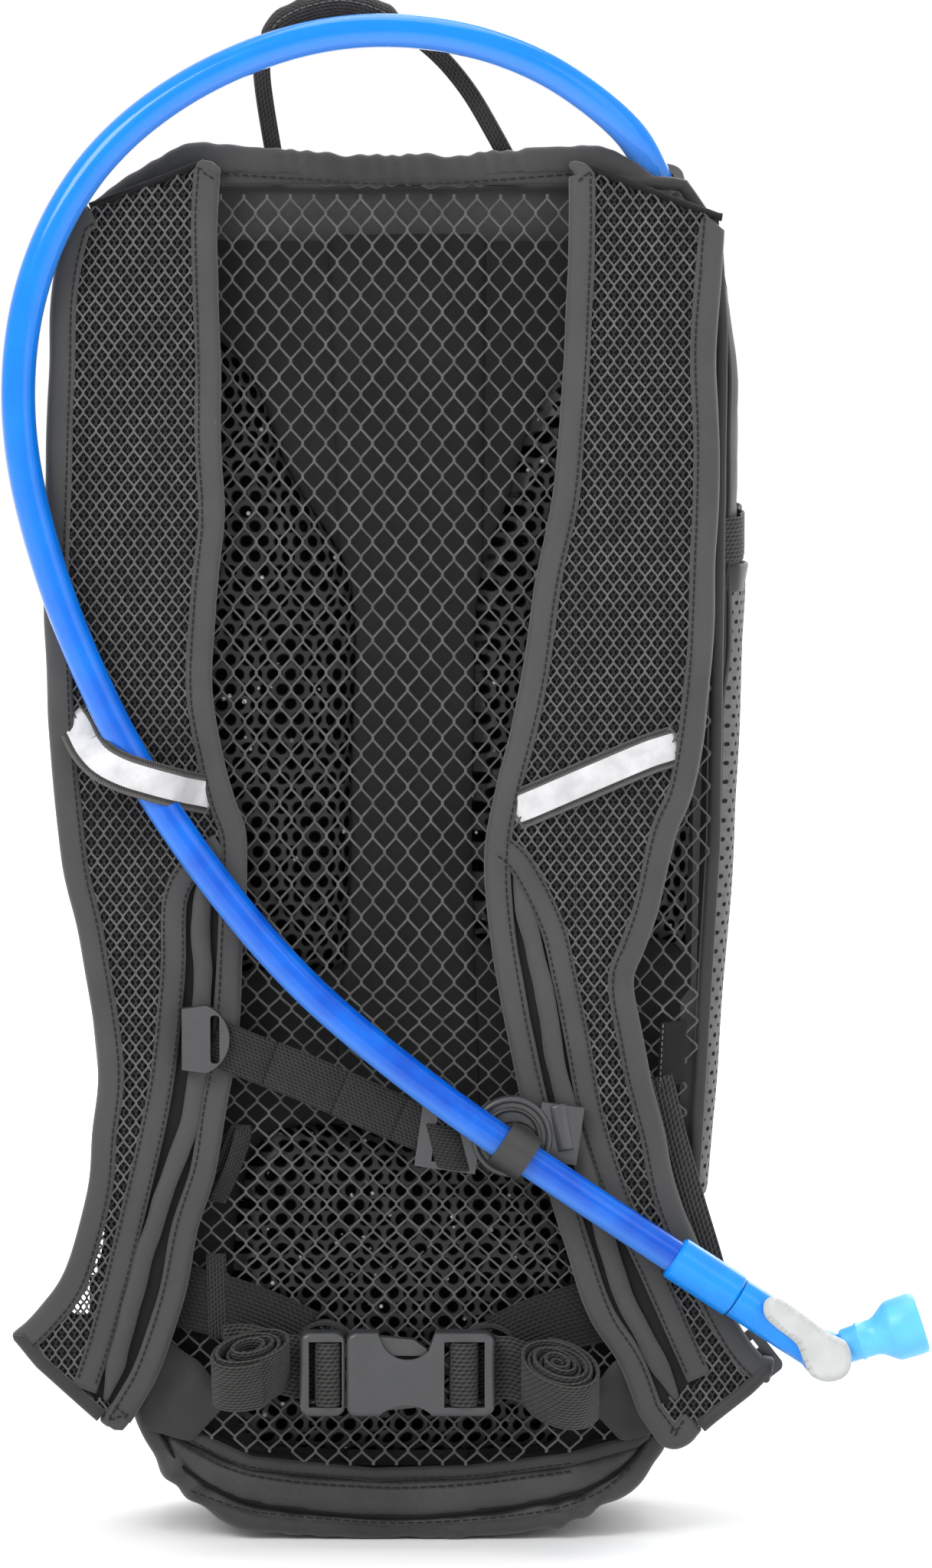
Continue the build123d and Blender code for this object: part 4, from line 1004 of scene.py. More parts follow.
RIGHT_INNER = [
    (76, 43), (70, 59), (61, 73), (54, 92), (47, 115), (37, 150), (30, 184), (26, 212), (26, 232), (29, 249),
    (37, 282), (42, 317), (48, 346), (51, 384), (52, 405), (53, 432), (53, 452), (56, 454),
]
LEFT_RAIL = [
    (-65, 224), (-66.8, 210), (-66.5, 180), (-70, 144), (-78, 120), (-85, 99), (-90, 80), (-98.5, 48),
]
RIGHT_RAIL = [(35.5, 222), (44, 188), (49, 160), (55, 136), (62, 113), (71, 84), (80, 66), (89, 48)]
LEFT_FACING = [
    (-60.5, 231), (-69, 225), (-75.3, 213), (-76.2, 188), (-80.5, 150), (-89, 112), (-98.5, 74), (-105.5, 52),
]
RIGHT_FACING = [
    (29.5, 232), (38, 224), (47.5, 205), (51.5, 189), (56, 167), (61, 141), (69, 116), (80, 92), (96, 56),
]


def strap_curve(x, z):
    """Small unevenness of the strap mesh."""
    return wobble(Vector((x, 0.1, z)), 0.07, 0.5 * MM, 7.0)


def strap_outline(outer, foot, inner):
    rounded = smooth_line(flat_points(outer), 5) + smooth_line(flat_points(foot), 4)
    return resample(rounded + smooth_line(flat_points(inner), 5), 2.4 * MM, closed=True)


def make_strap(side, outer, foot, inner, rail, facing, creases, window):
    outline = strap_outline(outer, foot, inner)
    middle_line = inset(outline, BAND_WIDTH / 2)

    def nearest_index(x, z):
        place = Vector((x, 0, z)) * MM
        return min(range(len(outline)), key=lambda i: (outline[i] - place).length)

    def stretch(line, first, last):
        """Part of a line moved in from the outline, between the outline's points nearest to two places."""
        start, end = nearest_index(*first), nearest_index(*last)
        return line[start:end + 1] if end > start else line[start:] + line[:end + 1]

    def crease(spot):
        depth = 0.0
        for cx, cz, reach, height in creases:
            far = sqrt((spot.x - cx * MM) ** 2 + (spot.z - cz * MM) ** 2)
            depth += height * MM * max(0.0, 1 - far / (reach * MM)) * sin((spot.z - cz * MM) / (1.9 * MM))
        return depth

    profile = []
    half, tall, corner = BAND_WIDTH / 2, STRAP_THICK / 2, 2.6 * MM
    for cx, cy, start in ((half - corner, tall - corner, 0), (-half + 1.0 * MM, tall - 1.0 * MM, 90),
                          (-half + 1.0 * MM, -tall + 1.0 * MM, 180), (half - corner, -tall + corner, 270)):
        radius = corner if cx > 0 else 1.0 * MM
        for k in range(4):
            angle = radians(start + 30 * k)
            profile.append((cx + radius * cos(angle), cy + radius * sin(angle)))
    area = sum(a.x * b.z - b.x * a.z for a, b in zip(outline, outline[1:] + outline[:1]))
    outward = 1 if area < 0 else -1

    def band_side(direction, share):
        return Vector((-direction.z, 0, direction.x)) * outward, FACING

    for label, first, last in (("outer", outer[0], outer[-1]), ("inner", foot[1], inner[-1])):
        path = at_depth(stretch(middle_line, first, last), STRAP_MID)
        reach = 4.0 * MM if label == "outer" else 1.0 * MM
        path = resample(path + [path[-1] + (path[-1] - path[-3]).normalized() * reach], 2.0 * MM)
        band = sweep_profile(f"strap_{side}_binding_{label}", path, profile, band_side, BINDING)
        for vertex in band.data.vertices:
            spot = vertex.co.copy()
            soft = wobble(spot, 0.012, 0.35 * MM, 1.0) + wobble(spot, 0.03, 0.45 * MM, 6.0) + crease(spot)
            front = 1 if spot.y < STRAP_MID else -0.5
            vertex.co.y -= soft * 0.6 * front
            vertex.co += Vector((wobble(spot, 0.02, 0.5 * MM, 11.0), 0, wobble(spot, 0.02, 0.4 * MM, 12.0)))
        subdivide(band)
        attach(band, "pack")
        if label == "outer":
            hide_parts(f"strap_binding_{side}")
        seam_line = at_depth(stretch(inset(outline, BAND_WIDTH - 1.5 * MM), first, last),
                             STRAP_FRONT - 0.05 * MM)
        stitch_row(f"strap_{side}_binding_stitches_{label}", seam_line[1:-1], "pack", STITCH)
    for label, first, last in (("foot", outer[-1], foot[1]), ("top", inner[-1], outer[0])):
        drop, tape, cloth = (1.2, 4.6, HEM) if label == "foot" else (2.4, 2.6, SHELL_DARK_AND_SHADE)
        edge = at_depth(stretch(inset(outline, 1.6 * MM), first, last), STRAP_FRONT + drop * MM)
        edge_band = sweep_profile(f"strap_{side}_edge_{label}", edge, rounded_strip(tape * MM, 4.0 * MM),
                                  flat_side, cloth)
        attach(edge_band, "pack")

    core_line = inset(outline, 2.0 * MM)
    core = pillow(f"strap_{side}_core", core_line, STRAP_BACK - 0.8 * MM, STRAP_FRONT + 2.6 * MM, 3 * MM,
                  SHELL_DARK_AND_SHADE, cell=2.6 * MM, gap=window)
    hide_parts(f"strap_core_{side}")

    in_outline = inside_polygon([(p.x, p.z) for p in inset(outline, 1.6 * MM)])
    # the mesh is left off between the facing strip and the rail, so the dark core shows there as painted
    # shade in the recess
    zone = [(x * MM, z * MM) for x, z in facing]
    zone += [(x * MM, z * MM) for x, z in inner if z < facing[0][1]]
    in_zone = inside_polygon(zone)

    def in_mesh(x, z):
        return in_outline(x, z) and not in_zone(x, z)

    reach = (min(p.x for p in outline), max(p.x for p in outline))
    bottom = min(p.z for p in outline)
    front, behind = (
        net_lines(in_mesh, 4.1 * MM, lambda row: bottom + row * 6.1 * MM, 72, reach,
                  lambda x, z: STRAP_FRONT + drop * MM + strap_curve(x, z), phase)
        for drop, phase in ((1.0, 0.0), (1.9, 0.45))
    )
    for name, lines, radius, yarn in (
        (f"strap_{side}_mesh", front, 0.40 * MM, STRAP_NET),
        (f"strap_{side}_mesh_under", behind, 0.36 * MM, STRAP_NET_SHADED)
    ):
        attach(strands(name, lines, radius, yarn), "pack")

    rail_line = flat_points(rail, -59.6)
    rail_path = resample(smooth_line(rail_line, 8), 2 * MM)
    rail_oval = oval(3.2 * MM, 1.75 * MM, RAIL_RING)
    rail_tube = sweep_profile(f"strap_{side}_rail", rail_path, rail_oval, flat_side, BINDING)
    for vertex in rail_tube.data.vertices:
        spot = vertex.co.copy()
        row = vertex.index // RAIL_RING
        centre_spot = rail_path[row]
        taper = min(1.0, 0.3 + 0.7 * min(row, len(rail_path) - 1 - row) / 6)
        vertex.co = centre_spot + (spot - centre_spot) * taper + Vector((0, (1 - taper) * 1.6 * MM, 0))
        vertex.co += Vector((wobble(spot, 0.009, 0.55 * MM, 3.0), wobble(spot, 0.011, 0.4 * MM, 8.0), 0))
    subdivide(rail_tube)
    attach(rail_tube, "pack")
    if side == "left":
        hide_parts("sternum_rails")

    facing_line = flat_points(facing, 0)
    facing_path = at_depth(resample(smooth_line(facing_line, 8), 2 * MM), FACE_Y + 0.2 * MM)
    strip = sweep_profile(f"strap_{side}_facing", facing_path, rounded_strip(8.2 * MM, 1.9 * MM), flat_side,
                          BINDING)
    for vertex in strip.data.vertices:
        vertex.co.y -= wobble(vertex.co.copy(), 0.014, 0.35 * MM, 5.0)
    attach(strip, "pack")
    steps = tangents(facing_path)
    for edge, shift in (("outer", 3.1), ("inner", -3.1)):
        row = [Vector((p.x - s.z * shift * MM, FACE_Y - 0.85 * MM, p.z + s.x * shift * MM))
               for p, s in zip(facing_path, steps)]
        stitch_row(f"strap_{side}_facing_{edge}", row[2:-2], "pack", STITCH, pitch=2.2 * MM, length=1.4 * MM)


def left_window(x, z):
    """Worn part of the left mesh that lets light through."""
    ragged = noise.noise(Vector((x, 0, z)) / 0.006) > -0.5
    return 76 * MM < z < 104 * MM and x < -97 * MM - (104 * MM - z) * 0.30 and ragged


make_strap("left", LEFT_OUTER, LEFT_FOOT, LEFT_INNER, LEFT_RAIL, LEFT_FACING,
           ((-62, 337, 16, 0.8), (-64, 285, 14, 0.9), (-60, 262, 10, 0.5)), left_window)
make_strap("right", RIGHT_OUTER, RIGHT_FOOT, RIGHT_INNER, RIGHT_RAIL, RIGHT_FACING,
           ((77, 190, 14, 0.9), (84, 222, 12, 0.5), (98, 420, 12, 0.5)), None)


# ---------------------------------------------------------------- reflective strips on the straps
def strip_with_borders(name, line, width):
    """Tape with a pale print between two dark ribbed borders."""
    tape = ribbon(f"{name}_tape", line, width, 0.7 * MM, BORDER, "pack")
    lifted = [p + FACING * 0.3 * MM for p in line]
    ribbon(f"{name}_print", lifted, width - 4.6 * MM, 0.5 * MM, REFLECT, "pack")
    return tape


right_line = [Vector(p) * MM for p in (
    (34.5, -58.0, 241.8), (38.6, -60.0, 243.5), (43.5, -60.9, 245.6), (61, -61.2, 253.2), (78, -60.9, 260.4),
    (84.8, -60.0, 262.6),
    (89.0, -58.0, 263.8),
)]
tape = strip_with_borders("strip_right", right_line, 13.2 * MM)
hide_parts("strap_strip_right")
left_line = [Vector(p) * MM for p in (
    (-109.5, -58.0, 273.6), (-106.6, -60.4, 269.6), (-103.4, -66.4, 264.2), (-98.5, -72.6, 259.4),
    (-91, -74.4, 255.6),
    (-82, -74.4, 252.8), (-75.2, -72.0, 250.8), (-70.6, -65.4, 249.2), (-66.4, -60.2, 248.0),
    (-62.5, -58.2, 247.0),
)]
tape = strip_with_borders("hose_keeper", left_line, 13.0 * MM)
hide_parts("hose_keeper_left")


# ---------------------------------------------------------------- top hem and grab handle
def upright(name, path, axis, width, thick, material, body):
    """Webbing whose width lies along a fixed axis while its length follows any path square to that axis."""
    line = resample(smooth_line(path, 6), 1.2 * MM)
    axis = Vector(axis).normalized()

    def side(direction, share):
        return axis, direction.cross(axis).normalized()

    made = sweep_profile(name, line, rounded_strip(width, thick), side, material)
    if body:
        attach(made, body)
    return made


HEM_RING, HEM_STEP = 16, 1.3 * MM
HEM_LINE = [
    (-101, 438.5), (-88, 445.0), (-71, 454.0), (-58, 453.6), (-40, 452.4), (-15, 450.6), (8, 450.4),
    (30, 451.6), (46, 453.0), (60, 453.6), (72, 450), (84, 443),
]
hem_path = resample(smooth_line(flat_points(HEM_LINE, -47.8), 6), HEM_STEP)
top_hem = sweep_profile("top_hem_gathers", hem_path, oval(5.2 * MM, 2.7 * MM, HEM_RING), flat_side, HEM)
for vertex in top_hem.data.vertices:
    row = min(vertex.index // HEM_RING, len(hem_path) - 1)
    outward = vertex.co - hem_path[row]
    run = row * HEM_STEP
    gather = 0.16 * sin(run / (1.05 * MM) + 2.0 * sin(run / (5.3 * MM))) + 0.09 * sin(run / (2.9 * MM) + 0.7)
    strength = 1.0 if -42 * MM < hem_path[row].x < 40 * MM else 0.35
    ends = min(1.0, 0.45 + 0.55 * min(row, len(hem_path) - 1 - row) / 18)
    vertex.co = hem_path[row] + outward * (1 + gather * strength * (0.9 if outward.z < 0 else 0.5)) * ends
    vertex.co.z += wobble(Vector((run, 0, 0)), 0.012, 1.0 * MM, 4.4)
subdivide(top_hem)
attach(top_hem, "pack")
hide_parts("top_hem")
hem_seam = [Vector((p.x, -50.9 * MM, p.z - 4.4 * MM)) for p in hem_path[22:-12]]
stitch_row("top_hem_stitches", hem_seam, "pack", STITCH, pitch=3 * MM, length=2 * MM)

# yoke: shell cloth drawn over the top edge of the bag between the hem and the shell
YOKE = [
    (-100, 440.5), (-88, 446), (-72, 451.5), (-52, 448.6), (-15, 447.8), (24, 447.8), (46, 448.6), (70, 451),
    (86, 446), (98, 437), (96, 426), (-98, 426),
]
yoke = pillow("top_yoke", flat_points(YOKE), -37.5 * MM, -44.0 * MM, 6 * MM, SHELL,
              relief=uneven(0.018, 1.5 * MM, 8.0))
subdivide(yoke)

anchor = upright("handle_anchor_tape_webbing", [Vector((x, -41.0, 443.4)) * MM for x in (-52, -20, 12, 45)],
                 (0, 0, 1), 6.6 * MM, 2.6 * MM, WEB_FINE, "pack")
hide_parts("handle_anchor_tape")

HANDLE_LEGS = [
    (-41.5, 449.8), (-43.5, 458), (-47, 482), (-45, 492), (-36, 500.5), (-22, 504.5), (-6, 500), (9, 489.5),
    (20, 477), (29, 462), (35.5, 449.8),
]
HANDLE_Y, HANDLE_SEAM_Z = -41.6, 449.8
handle_points = flat_points(HANDLE_LEGS, HANDLE_Y)
handle_webbing = ribbon("grab_handle_strap", handle_points, 5.6 * MM, 2.4 * MM, WEB_FINE, None)
for vertex in handle_webbing.data.vertices:
    free = min(1.0, max(0.0, (vertex.co.z - 0.452) / 0.02))
    vertex.co.y += wobble(vertex.co.copy(), 0.03, 1.0 * MM, 2.2) * free
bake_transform(handle_webbing)
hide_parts("grab_handle_webbing")

GRIP_LINE = [(-44.5, 492.5), (-41, 497.5), (-33, 501.8), (-21, 504.0), (-10, 501.5), (-2.5, 497)]
grip_path = resample(smooth_line(flat_points(GRIP_LINE, HANDLE_Y), 8), 1.2 * MM)
GRIP_RING = 16
grip = sweep_profile("handle_grip_binding", grip_path, oval(4.8 * MM, 4.9 * MM, GRIP_RING), flat_side,
                     WEB_FINE)
for vertex in grip.data.vertices:
    row = min(vertex.index // GRIP_RING, len(grip_path) - 1)
    outward = vertex.co - grip_path[row]
    end = min(row, len(grip_path) - 1 - row) / 5
    swell = min(1.0, 0.72 + 0.28 * end) * (1 + 0.05 * sin(row * 1.1))
    vertex.co = grip_path[row] + outward * swell
subdivide(grip)
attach(grip, "handle")
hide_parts("handle_grip")
grip_seam = [Vector((p.x, p.y - 4.4 * MM, p.z + 1.6 * MM)) for p in grip_path[3:-3]]
stitch_row("handle_grip_stitches", grip_seam, "handle", STITCH_PALE, pitch=2.2 * MM, length=1.5 * MM)


# ---------------------------------------------------------------- sternum strap
def slanted(name, line, width, thick, body, bow=0.0):
    """Webbing lying across the chest; bow lifts its middle towards the wearer."""
    count = len(line) - 1
    points = [Vector((x, y - bow * sin(pi * k / count), z)) * MM for k, (x, y, z) in enumerate(line)]
    return ribbon(name, points, width, thick, WEB_FINE, body, step=1.5 * MM)


end_piece = slanted("sternum_webbing_end_strap", [(-63.2, -61.9, 167.2), (-58, -62.6, 165),
                                                  (-52, -62.0, 162.5), (-43, -61.6, 158.8)],
                    15.2 * MM, 1.3 * MM, "sternum_slider")
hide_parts("sternum_webbing_end")
slanted("sternum_webbing_turn", [(-62.6, -60.9, 167.0), (-55, -61.1, 163.9)], 15.0 * MM, 1.0 * MM,
        "sternum_slider")
main_strap = slanted("sternum_webbing_front", [(-44.0, -63.0, 159.6), (-36, -64.4, 156.6),
                                               (-28, -64.3, 153.2), (-14.5, -63.4, 147.2)],
                     15.4 * MM, 1.4 * MM, None, bow=0.4)
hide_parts("sternum_webbing")
lower_run = slanted("sternum_webbing_run", [(-43, -62.0, 158.8), (-28, -62.3, 153), (-10, -62.2, 145),
                                            (4.5, -62.0, 138.6)],
                    15.0 * MM, 1.2 * MM, None)
top_fold = slanted("sternum_webbing_fold", [(-21.5, -64.9, 150.2), (-12, -65.4, 146.2), (-2.5, -64.2, 142.0)],
                   15.4 * MM, 1.4 * MM, None)
for piece in (main_strap, lower_run, top_fold):
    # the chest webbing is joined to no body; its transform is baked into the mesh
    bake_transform(piece)
slanted("sternum_webbing_clip_end", [(-5.5, -63.4, 143.4), (0, -64.2, 141), (6.5, -63.6, 138.2)], 15.2 * MM,
        1.3 * MM, "pack")
upright("sternum_clip_wrap", [Vector(p) * MM for p in ((8.0, -61.2, 133.6), (9.2, -65.2, 133.2),
                                                       (14.2, -66.2, 132.4), (18.6, -64.6, 131.8),
                                                       (18.9, -61.2, 131.8))],
        (-0.25, 0, 0.97), 15.0 * MM, 1.2 * MM, WEB_FINE, "pack")


# ---------------------------------------------------------------- waist belt
WEBBING = 20.8 * MM
ROLL_WIDTH = 21.4 * MM
STRIP_RING = 8              # points round a rounded_strip with two points to a corner
PLUG_BAR, SOCKET_BAR = (-29.4, -21.6), (14.6, 23.2)
BUCKLE_Z = 58.5


def bar_wrap(name, left, right, body):
    """Webbing turned round one bar of the buckle."""
    path = [(left, -60.4), (left + 0.6, -69.2), (left + 2.2, -71.3), ((left + right) / 2, -71.9),
            (right - 2.2, -71.3),
            (right - 0.6, -69.2), (right, -60.4)]
    upright(name, [Vector((x, y, BUCKLE_Z)) * MM for x, y in path], (0, 0, 1), WEBBING, 1.3 * MM, WEB, body)


bar_wrap("belt_wrap_left", PLUG_BAR[0], PLUG_BAR[1], "buckle_plug")
bar_wrap("belt_wrap_right", SOCKET_BAR[0], SOCKET_BAR[1], "pack")


def spiral(turns, inner, outer, deep, wiggle, start):
    """Rolled-up webbing seen along its axis: an oval spiral, as (across, behind) pairs in millimetres."""
    found = []
    count = int(turns * 40)
    for k in range(count + 1):
        share = k / count
        angle = radians(start) + 2 * pi * turns * share
        radius = inner + (outer - inner) * share
        radius *= 1 + wiggle * sin(angle * 1.5 + 0.6) * (1 - share * 0.6)
        found.append((radius * cos(angle), radius * deep * sin(angle)))
    return found


def belt_roll(name, centre, tilt, swing, coil, width, body):
    """Roll of spare webbing; tilt leans its top to the wearer and swing turns the oval about its axis."""
    lean = Matrix.Rotation(radians(tilt), 3, "X")
    turn = Matrix.Rotation(radians(swing), 3, "Z")
    middle = Vector(centre) * MM
    path = [middle + lean @ (turn @ Vector((a, b, 0))) * MM for a, b in coil]
    axis = lean @ Vector((0, 0, 1))
    line = resample(path, 1.2 * MM)
    count = len(line)

    def side(direction, share):
        out = direction.cross(axis).normalized()
        return out.cross(direction).normalized(), out

    made = sweep_profile(name, line, rounded_strip(width, 1.25 * MM, points=2), side, WEB)
    for vertex in made.data.vertices:
        row = vertex.index // STRIP_RING
        early = 1 - row / count
        vertex.co += axis * (1.8 * MM * early * sin(row * 0.09))
    if body:
        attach(made, body)
    return made


left_roll = belt_roll(
    "belt_tail_left_roll", (-50.3, -71.0, 60.5), 38, 24, spiral(4.2, 3.5, 14.6, 0.52, 0.10, 200), ROLL_WIDTH,
    None,
)
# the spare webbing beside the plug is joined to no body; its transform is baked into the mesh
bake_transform(left_roll)
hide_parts("belt_tail_left")
right_roll = belt_roll(
    "belt_tail_right_roll", (49.8, -71.5, 55.6), 40, -32, spiral(6.3, 1.6, 14.2, 0.66, 0.04, 20), ROLL_WIDTH,
    "pack",
)
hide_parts("belt_tail_right")
LEFT_RUN = [
    (-60, -61.5, 63), (-53, -60.2, 63.5), (-45, -61.6, 62), (-38.5, -62.8, 60.5), (-34, -61.8, 59.6),
    (-28.5, -60.4, 58.8),
]
left_run = upright("belt_run_left", millimetres(LEFT_RUN), (0, 0, 1), WEBBING, 1.3 * MM, WEB, None)
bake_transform(left_run)
RIGHT_RUN = [
    (22.5, -60.4, 58.6), (28, -61.6, 59.4), (34, -62.6, 59.6), (40, -62.0, 57.5), (48, -60.6, 55.5),
    (56, -60.0, 55),
]
upright("belt_run_right", millimetres(RIGHT_RUN), (0, 0, 1), WEBBING, 1.3 * MM, WEB, "pack")

# belt webbing sewn behind the straps, running in behind the buckle; the darker webbing on it is painted shade
belt_left = ribbon("belt_webbing_left", [Vector(p) * MM for p in (
    (-86, -51.6, 84), (-72, -52.4, 81.5), (-58, -54.0, 78), (-44, -56.5, 73), (-33, -58.3, 68))],
    WEBBING, 1.3 * MM, WEB_SHADED, "pack")
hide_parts("belt_webbing")
ribbon("belt_webbing_right", [Vector(p) * MM for p in (
    (86, -51.6, 79), (70, -52.4, 78), (54, -54.4, 75), (40, -57.0, 70.5), (31, -58.4, 66))],
    WEBBING, 1.3 * MM, WEB_SHADED, "pack")
ribbon("belt_webbing_patch", [Vector((-62.5, -53.6, 96)) * MM, Vector((-61.5, -54.2, 68)) * MM], 6.5 * MM,
       1.3 * MM, WEB_FINE, "pack")


def curled_loops(name, spots, turn, body):
    """Short ends of webbing curled over beside the buckle."""
    for index, (x, z, radius, tilt) in enumerate(spots):
        lean = Matrix.Rotation(radians(tilt), 3, "Y")
        arc = []
        for k in range(13):
            angle = pi * (0.02 + 0.96 * k / 12)
            bend = Vector((radius * cos(angle) * turn, -1.5 * sin(angle), radius * sin(angle)))
            arc.append(Vector((x, -57.2, z)) * MM + lean @ bend * MM)
        upright(f"{name}_{index}", arc, (0, 1, 0), 8.5 * MM, 1.25 * MM, WEB_FINE, body)


curled_loops("belt_loop_left", ((-27, 64.5, 9.5, 28), (-26.4, 64.0, 6.8, 28), (-25.8, 63.4, 4.3, 28)), 1,
             "pack")
curled_loops("belt_loop_right", ((27, 64.0, 9.2, -26), (26.4, 63.6, 6.6, -26), (25.8, 63.0, 4.2, -26)), 1,
             "pack")

# ---------------------------------------------------------------- anchors at the foot of the back
WING_LEFT = [(-58, 47), (-71, 33), (-87, 38), (-92, 62), (-80, 68), (-68, 60)]
WING_RIGHT = [(58, 47), (71, 33), (87, 38), (92, 62), (80, 68), (68, 60)]
for label, shape in (("left", WING_LEFT), ("right", WING_RIGHT)):
    wing = pillow(f"anchor_wing_{label}", flat_points(shape), -50.6 * MM, -52.6 * MM, 4 * MM, SHELL,
                  cell=2 * MM,
                  relief=uneven(0.012, 1.4 * MM, 3.3))
    subdivide(wing)
    if label == "left":
        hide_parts("anchor_wings")

adjust_right = ribbon("strap_webbing_right", [Vector(p) * MM for p in (
    (82, -51.2, 154), (86.5, -51.4, 135), (93, -51.5, 112), (100, -51.5, 88), (105, -51.5, 62))],
    11.0 * MM, 1.3 * MM, WEB, "pack")
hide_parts("strap_webbing")
ribbon("strap_webbing_left", [Vector(p) * MM for p in (
    (-90, -51.4, 152), (-92, -51.4, 128), (-94, -51.4, 100), (-102, -51.5, 62))], 11.0 * MM, 1.3 * MM, WEB,
    "pack")

loop = ribbon("panel_loop_tape", [Vector(p) * MM for p in (
    (-62, -51.5, 113), (-57.5, -53.0, 123), (-54.0, -54.6, 133), (-53.4, -53.8, 137.4), (-55.6, -52.4, 136),
    (-60, -51.2, 124))],
    6.4 * MM, 1.1 * MM, WEB_FINE, "pack", out=Vector((0.55, -0.84, 0)))
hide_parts("panel_loop")
label_tab = pillow("sewn_label_tab", flat_points([(82, 150), (91, 152), (92, 173), (83.5, 172)]), -50.6 * MM,
                   -51.6 * MM,
                   0.6 * MM, SHELL_DARK_AND_SHADE, cell=1.0 * MM, relief=uneven(0.02, 0.9 * MM, 1.0))
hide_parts("sewn_label")
stitch_row("sewn_label_stitches", [Vector((83.2, -51.9, 151.5)) * MM, Vector((84.2, -51.9, 171)) * MM],
           "pack", STITCH_PALE,
           pitch=2 * MM, length=1.2 * MM)


# ---------------------------------------------------------------- sides: stretch pockets, hems, straps
def shell_edge(z, y):
    """Half width of the shell at that height and depth, in millimetres."""
    _, half, back, front, corner = section_at(z)
    inner = corner - min(corner, max(0.0, y - back), max(0.0, front - y))
    return half - corner + sqrt(max(0.0, corner * corner - inner * inner))


def side_patch(name, low, high, back, front, stand, material, gather=0.0, bulge=0.0, thick=0.8):
    """Cloth wrapped on both sides of the bag, between two heights and two depths."""
    made = []
    for sign, label in ((-1, "left"), (1, "right")):
        verts, faces = [], []
        columns, rows = 22, max(4, round((high - low) / 5))
        for layer in (0, 1):
            for r in range(rows + 1):
                for c in range(columns + 1):
                    share_c, share_r = c / columns, r / rows
                    z = low + (high - low) * share_r
                    y = back + (front - back) * share_c
                    belly = sin(pi * share_c) ** 0.7 * (bulge * (0.35 + 0.65 * share_r))
                    folds = gather * sin(share_c * 44) * share_r**3
                    spot = Vector((0, y, z)) * MM
                    soft = wobble(spot, 0.03, 0.9, 14.0 + sign) * sin(pi * share_c) if bulge else 0.0
                    x = shell_edge(z, y) + stand + belly + folds + soft
                    if layer:
                        x -= thick
                    if c in (0, columns):
                        x = shell_edge(z, y) - 1.2
                    verts.append(Vector((sign * x, y, z)) * MM)
        size = (rows + 1) * (columns + 1)
        for layer in (0, 1):
            for r in range(rows):
                for c in range(columns):
                    a = layer * size + r * (columns + 1) + c
                    faces.append((a, a + 1, a + columns + 2, a + columns + 1))
        for r in range(rows):
            for c in (0, columns):
                a = r * (columns + 1) + c
                faces.append((a, a + columns + 1, size + a + columns + 1, size + a))
        for c in range(columns):
            for r in (0, rows):
                a = r * (columns + 1) + c
                faces.append((a, a + 1, size + a + 1, size + a))
        piece = new_object(f"{name}_{label}", verts, faces, material)
        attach(piece, "pack")
        made.append(piece)
    return made


pockets = side_patch("side_pocket", 112, 316, -30, 24, 0.9, STRETCH, bulge=2.0)
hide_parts("side_pockets")
for pocket in pockets:
    subdivide(pocket)
hems = side_patch("side_pocket_hem", 312, 321.5, -30.5, 24.5, 1.5, HEM, bulge=2.2, gather=0.35, thick=1.8)
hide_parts("side_pocket_hems")
for hem in hems:
    subdivide(hem)

for sign, label in ((-1, "left"), (1, "right")):
    around = []
    for k in range(17):
        y = -36 + 60 * k / 16
        around.append(Vector((sign * (shell_edge(331, y) + 1.5 + 0.5 * sin(k)), y, 331.5 + 0.06 * y)) * MM)
    band = upright(f"side_strap_{label}", around, (0, 0, 1), 14.6 * MM, 1.2 * MM, WEB, "pack")
    if label == "left":
        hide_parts("side_straps")
    # seam of the side panel, front and back, lying on the shell
    for y in (-30.0, 24.0):
        seam, facing_out = [], []
        for k in range(60):
            z = 26 + (430 - 26) * k / 59
            near = Vector((sign * (shell_edge(z, y) + 2), y, z)) * MM
            _, spot, normal, _ = bag_shell.closest_point_on_mesh(near)
            seam.append(spot + normal * 0.1 * MM)
            facing_out.append(normal.copy())
        average = sum(facing_out, Vector()).normalized()
        ribbon(f"side_seam_{label}_{'back' if y < 0 else 'front'}", seam, 2.6 * MM, 1.4 * MM, SHELL, "pack",
               out=average, step=3 * MM)

# ---------------------------------------------------------------- front: pocket, zips, panels
FRONT_POCKET = [
    (-58, 52), (-60, 180), (-57, 300), (-46, 317), (46, 317), (57, 300), (60, 180), (58, 52), (44, 44),
    (-44, 44),
]


def pocket_relief(x, z, far):
    hollow = wobble(Vector((x, 0, z)), 0.045, 2.6 * MM, 21.0)
    hollow += wobble(Vector((x * 1.6, 0, z)), 0.018, 1.0 * MM, 23.0)
    near_zip = max(0.0, 1 - abs(z - 290 * MM) / (16 * MM))
    return hollow * min(1.0, far / (14 * MM)) - 1.2 * MM * near_zip


def front_pillow(name, outline, back, front, edge, material, cell, relief):
    """Pillow that domes away from the wearer."""
    made = pillow(name, outline, -back, -front, edge, material, cell=cell, relief=relief)
    for vertex in made.data.vertices:
        vertex.co.y = -vertex.co.y
    made.data.flip_normals()
    return made


front_pocket = front_pillow(
    "front_pocket_cloth", resample(smooth_line(flat_points(FRONT_POCKET), 5, True), 3 * MM, True),
    38.5 * MM, 56.2 * MM, 15 * MM, SHELL, cell=3.5 * MM, relief=pocket_relief,
)
subdivide(front_pocket)
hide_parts("front_pocket")
piping_line = smooth_line(flat_points(FRONT_POCKET), 5, True)
ribbon("front_pocket_piping", [p + Vector((0, 40.6, 0)) * MM for p in piping_line],
                       4.4 * MM, 2.6 * MM, BINDING, "pack", out=Vector((0, 1, 0)), closed=True)


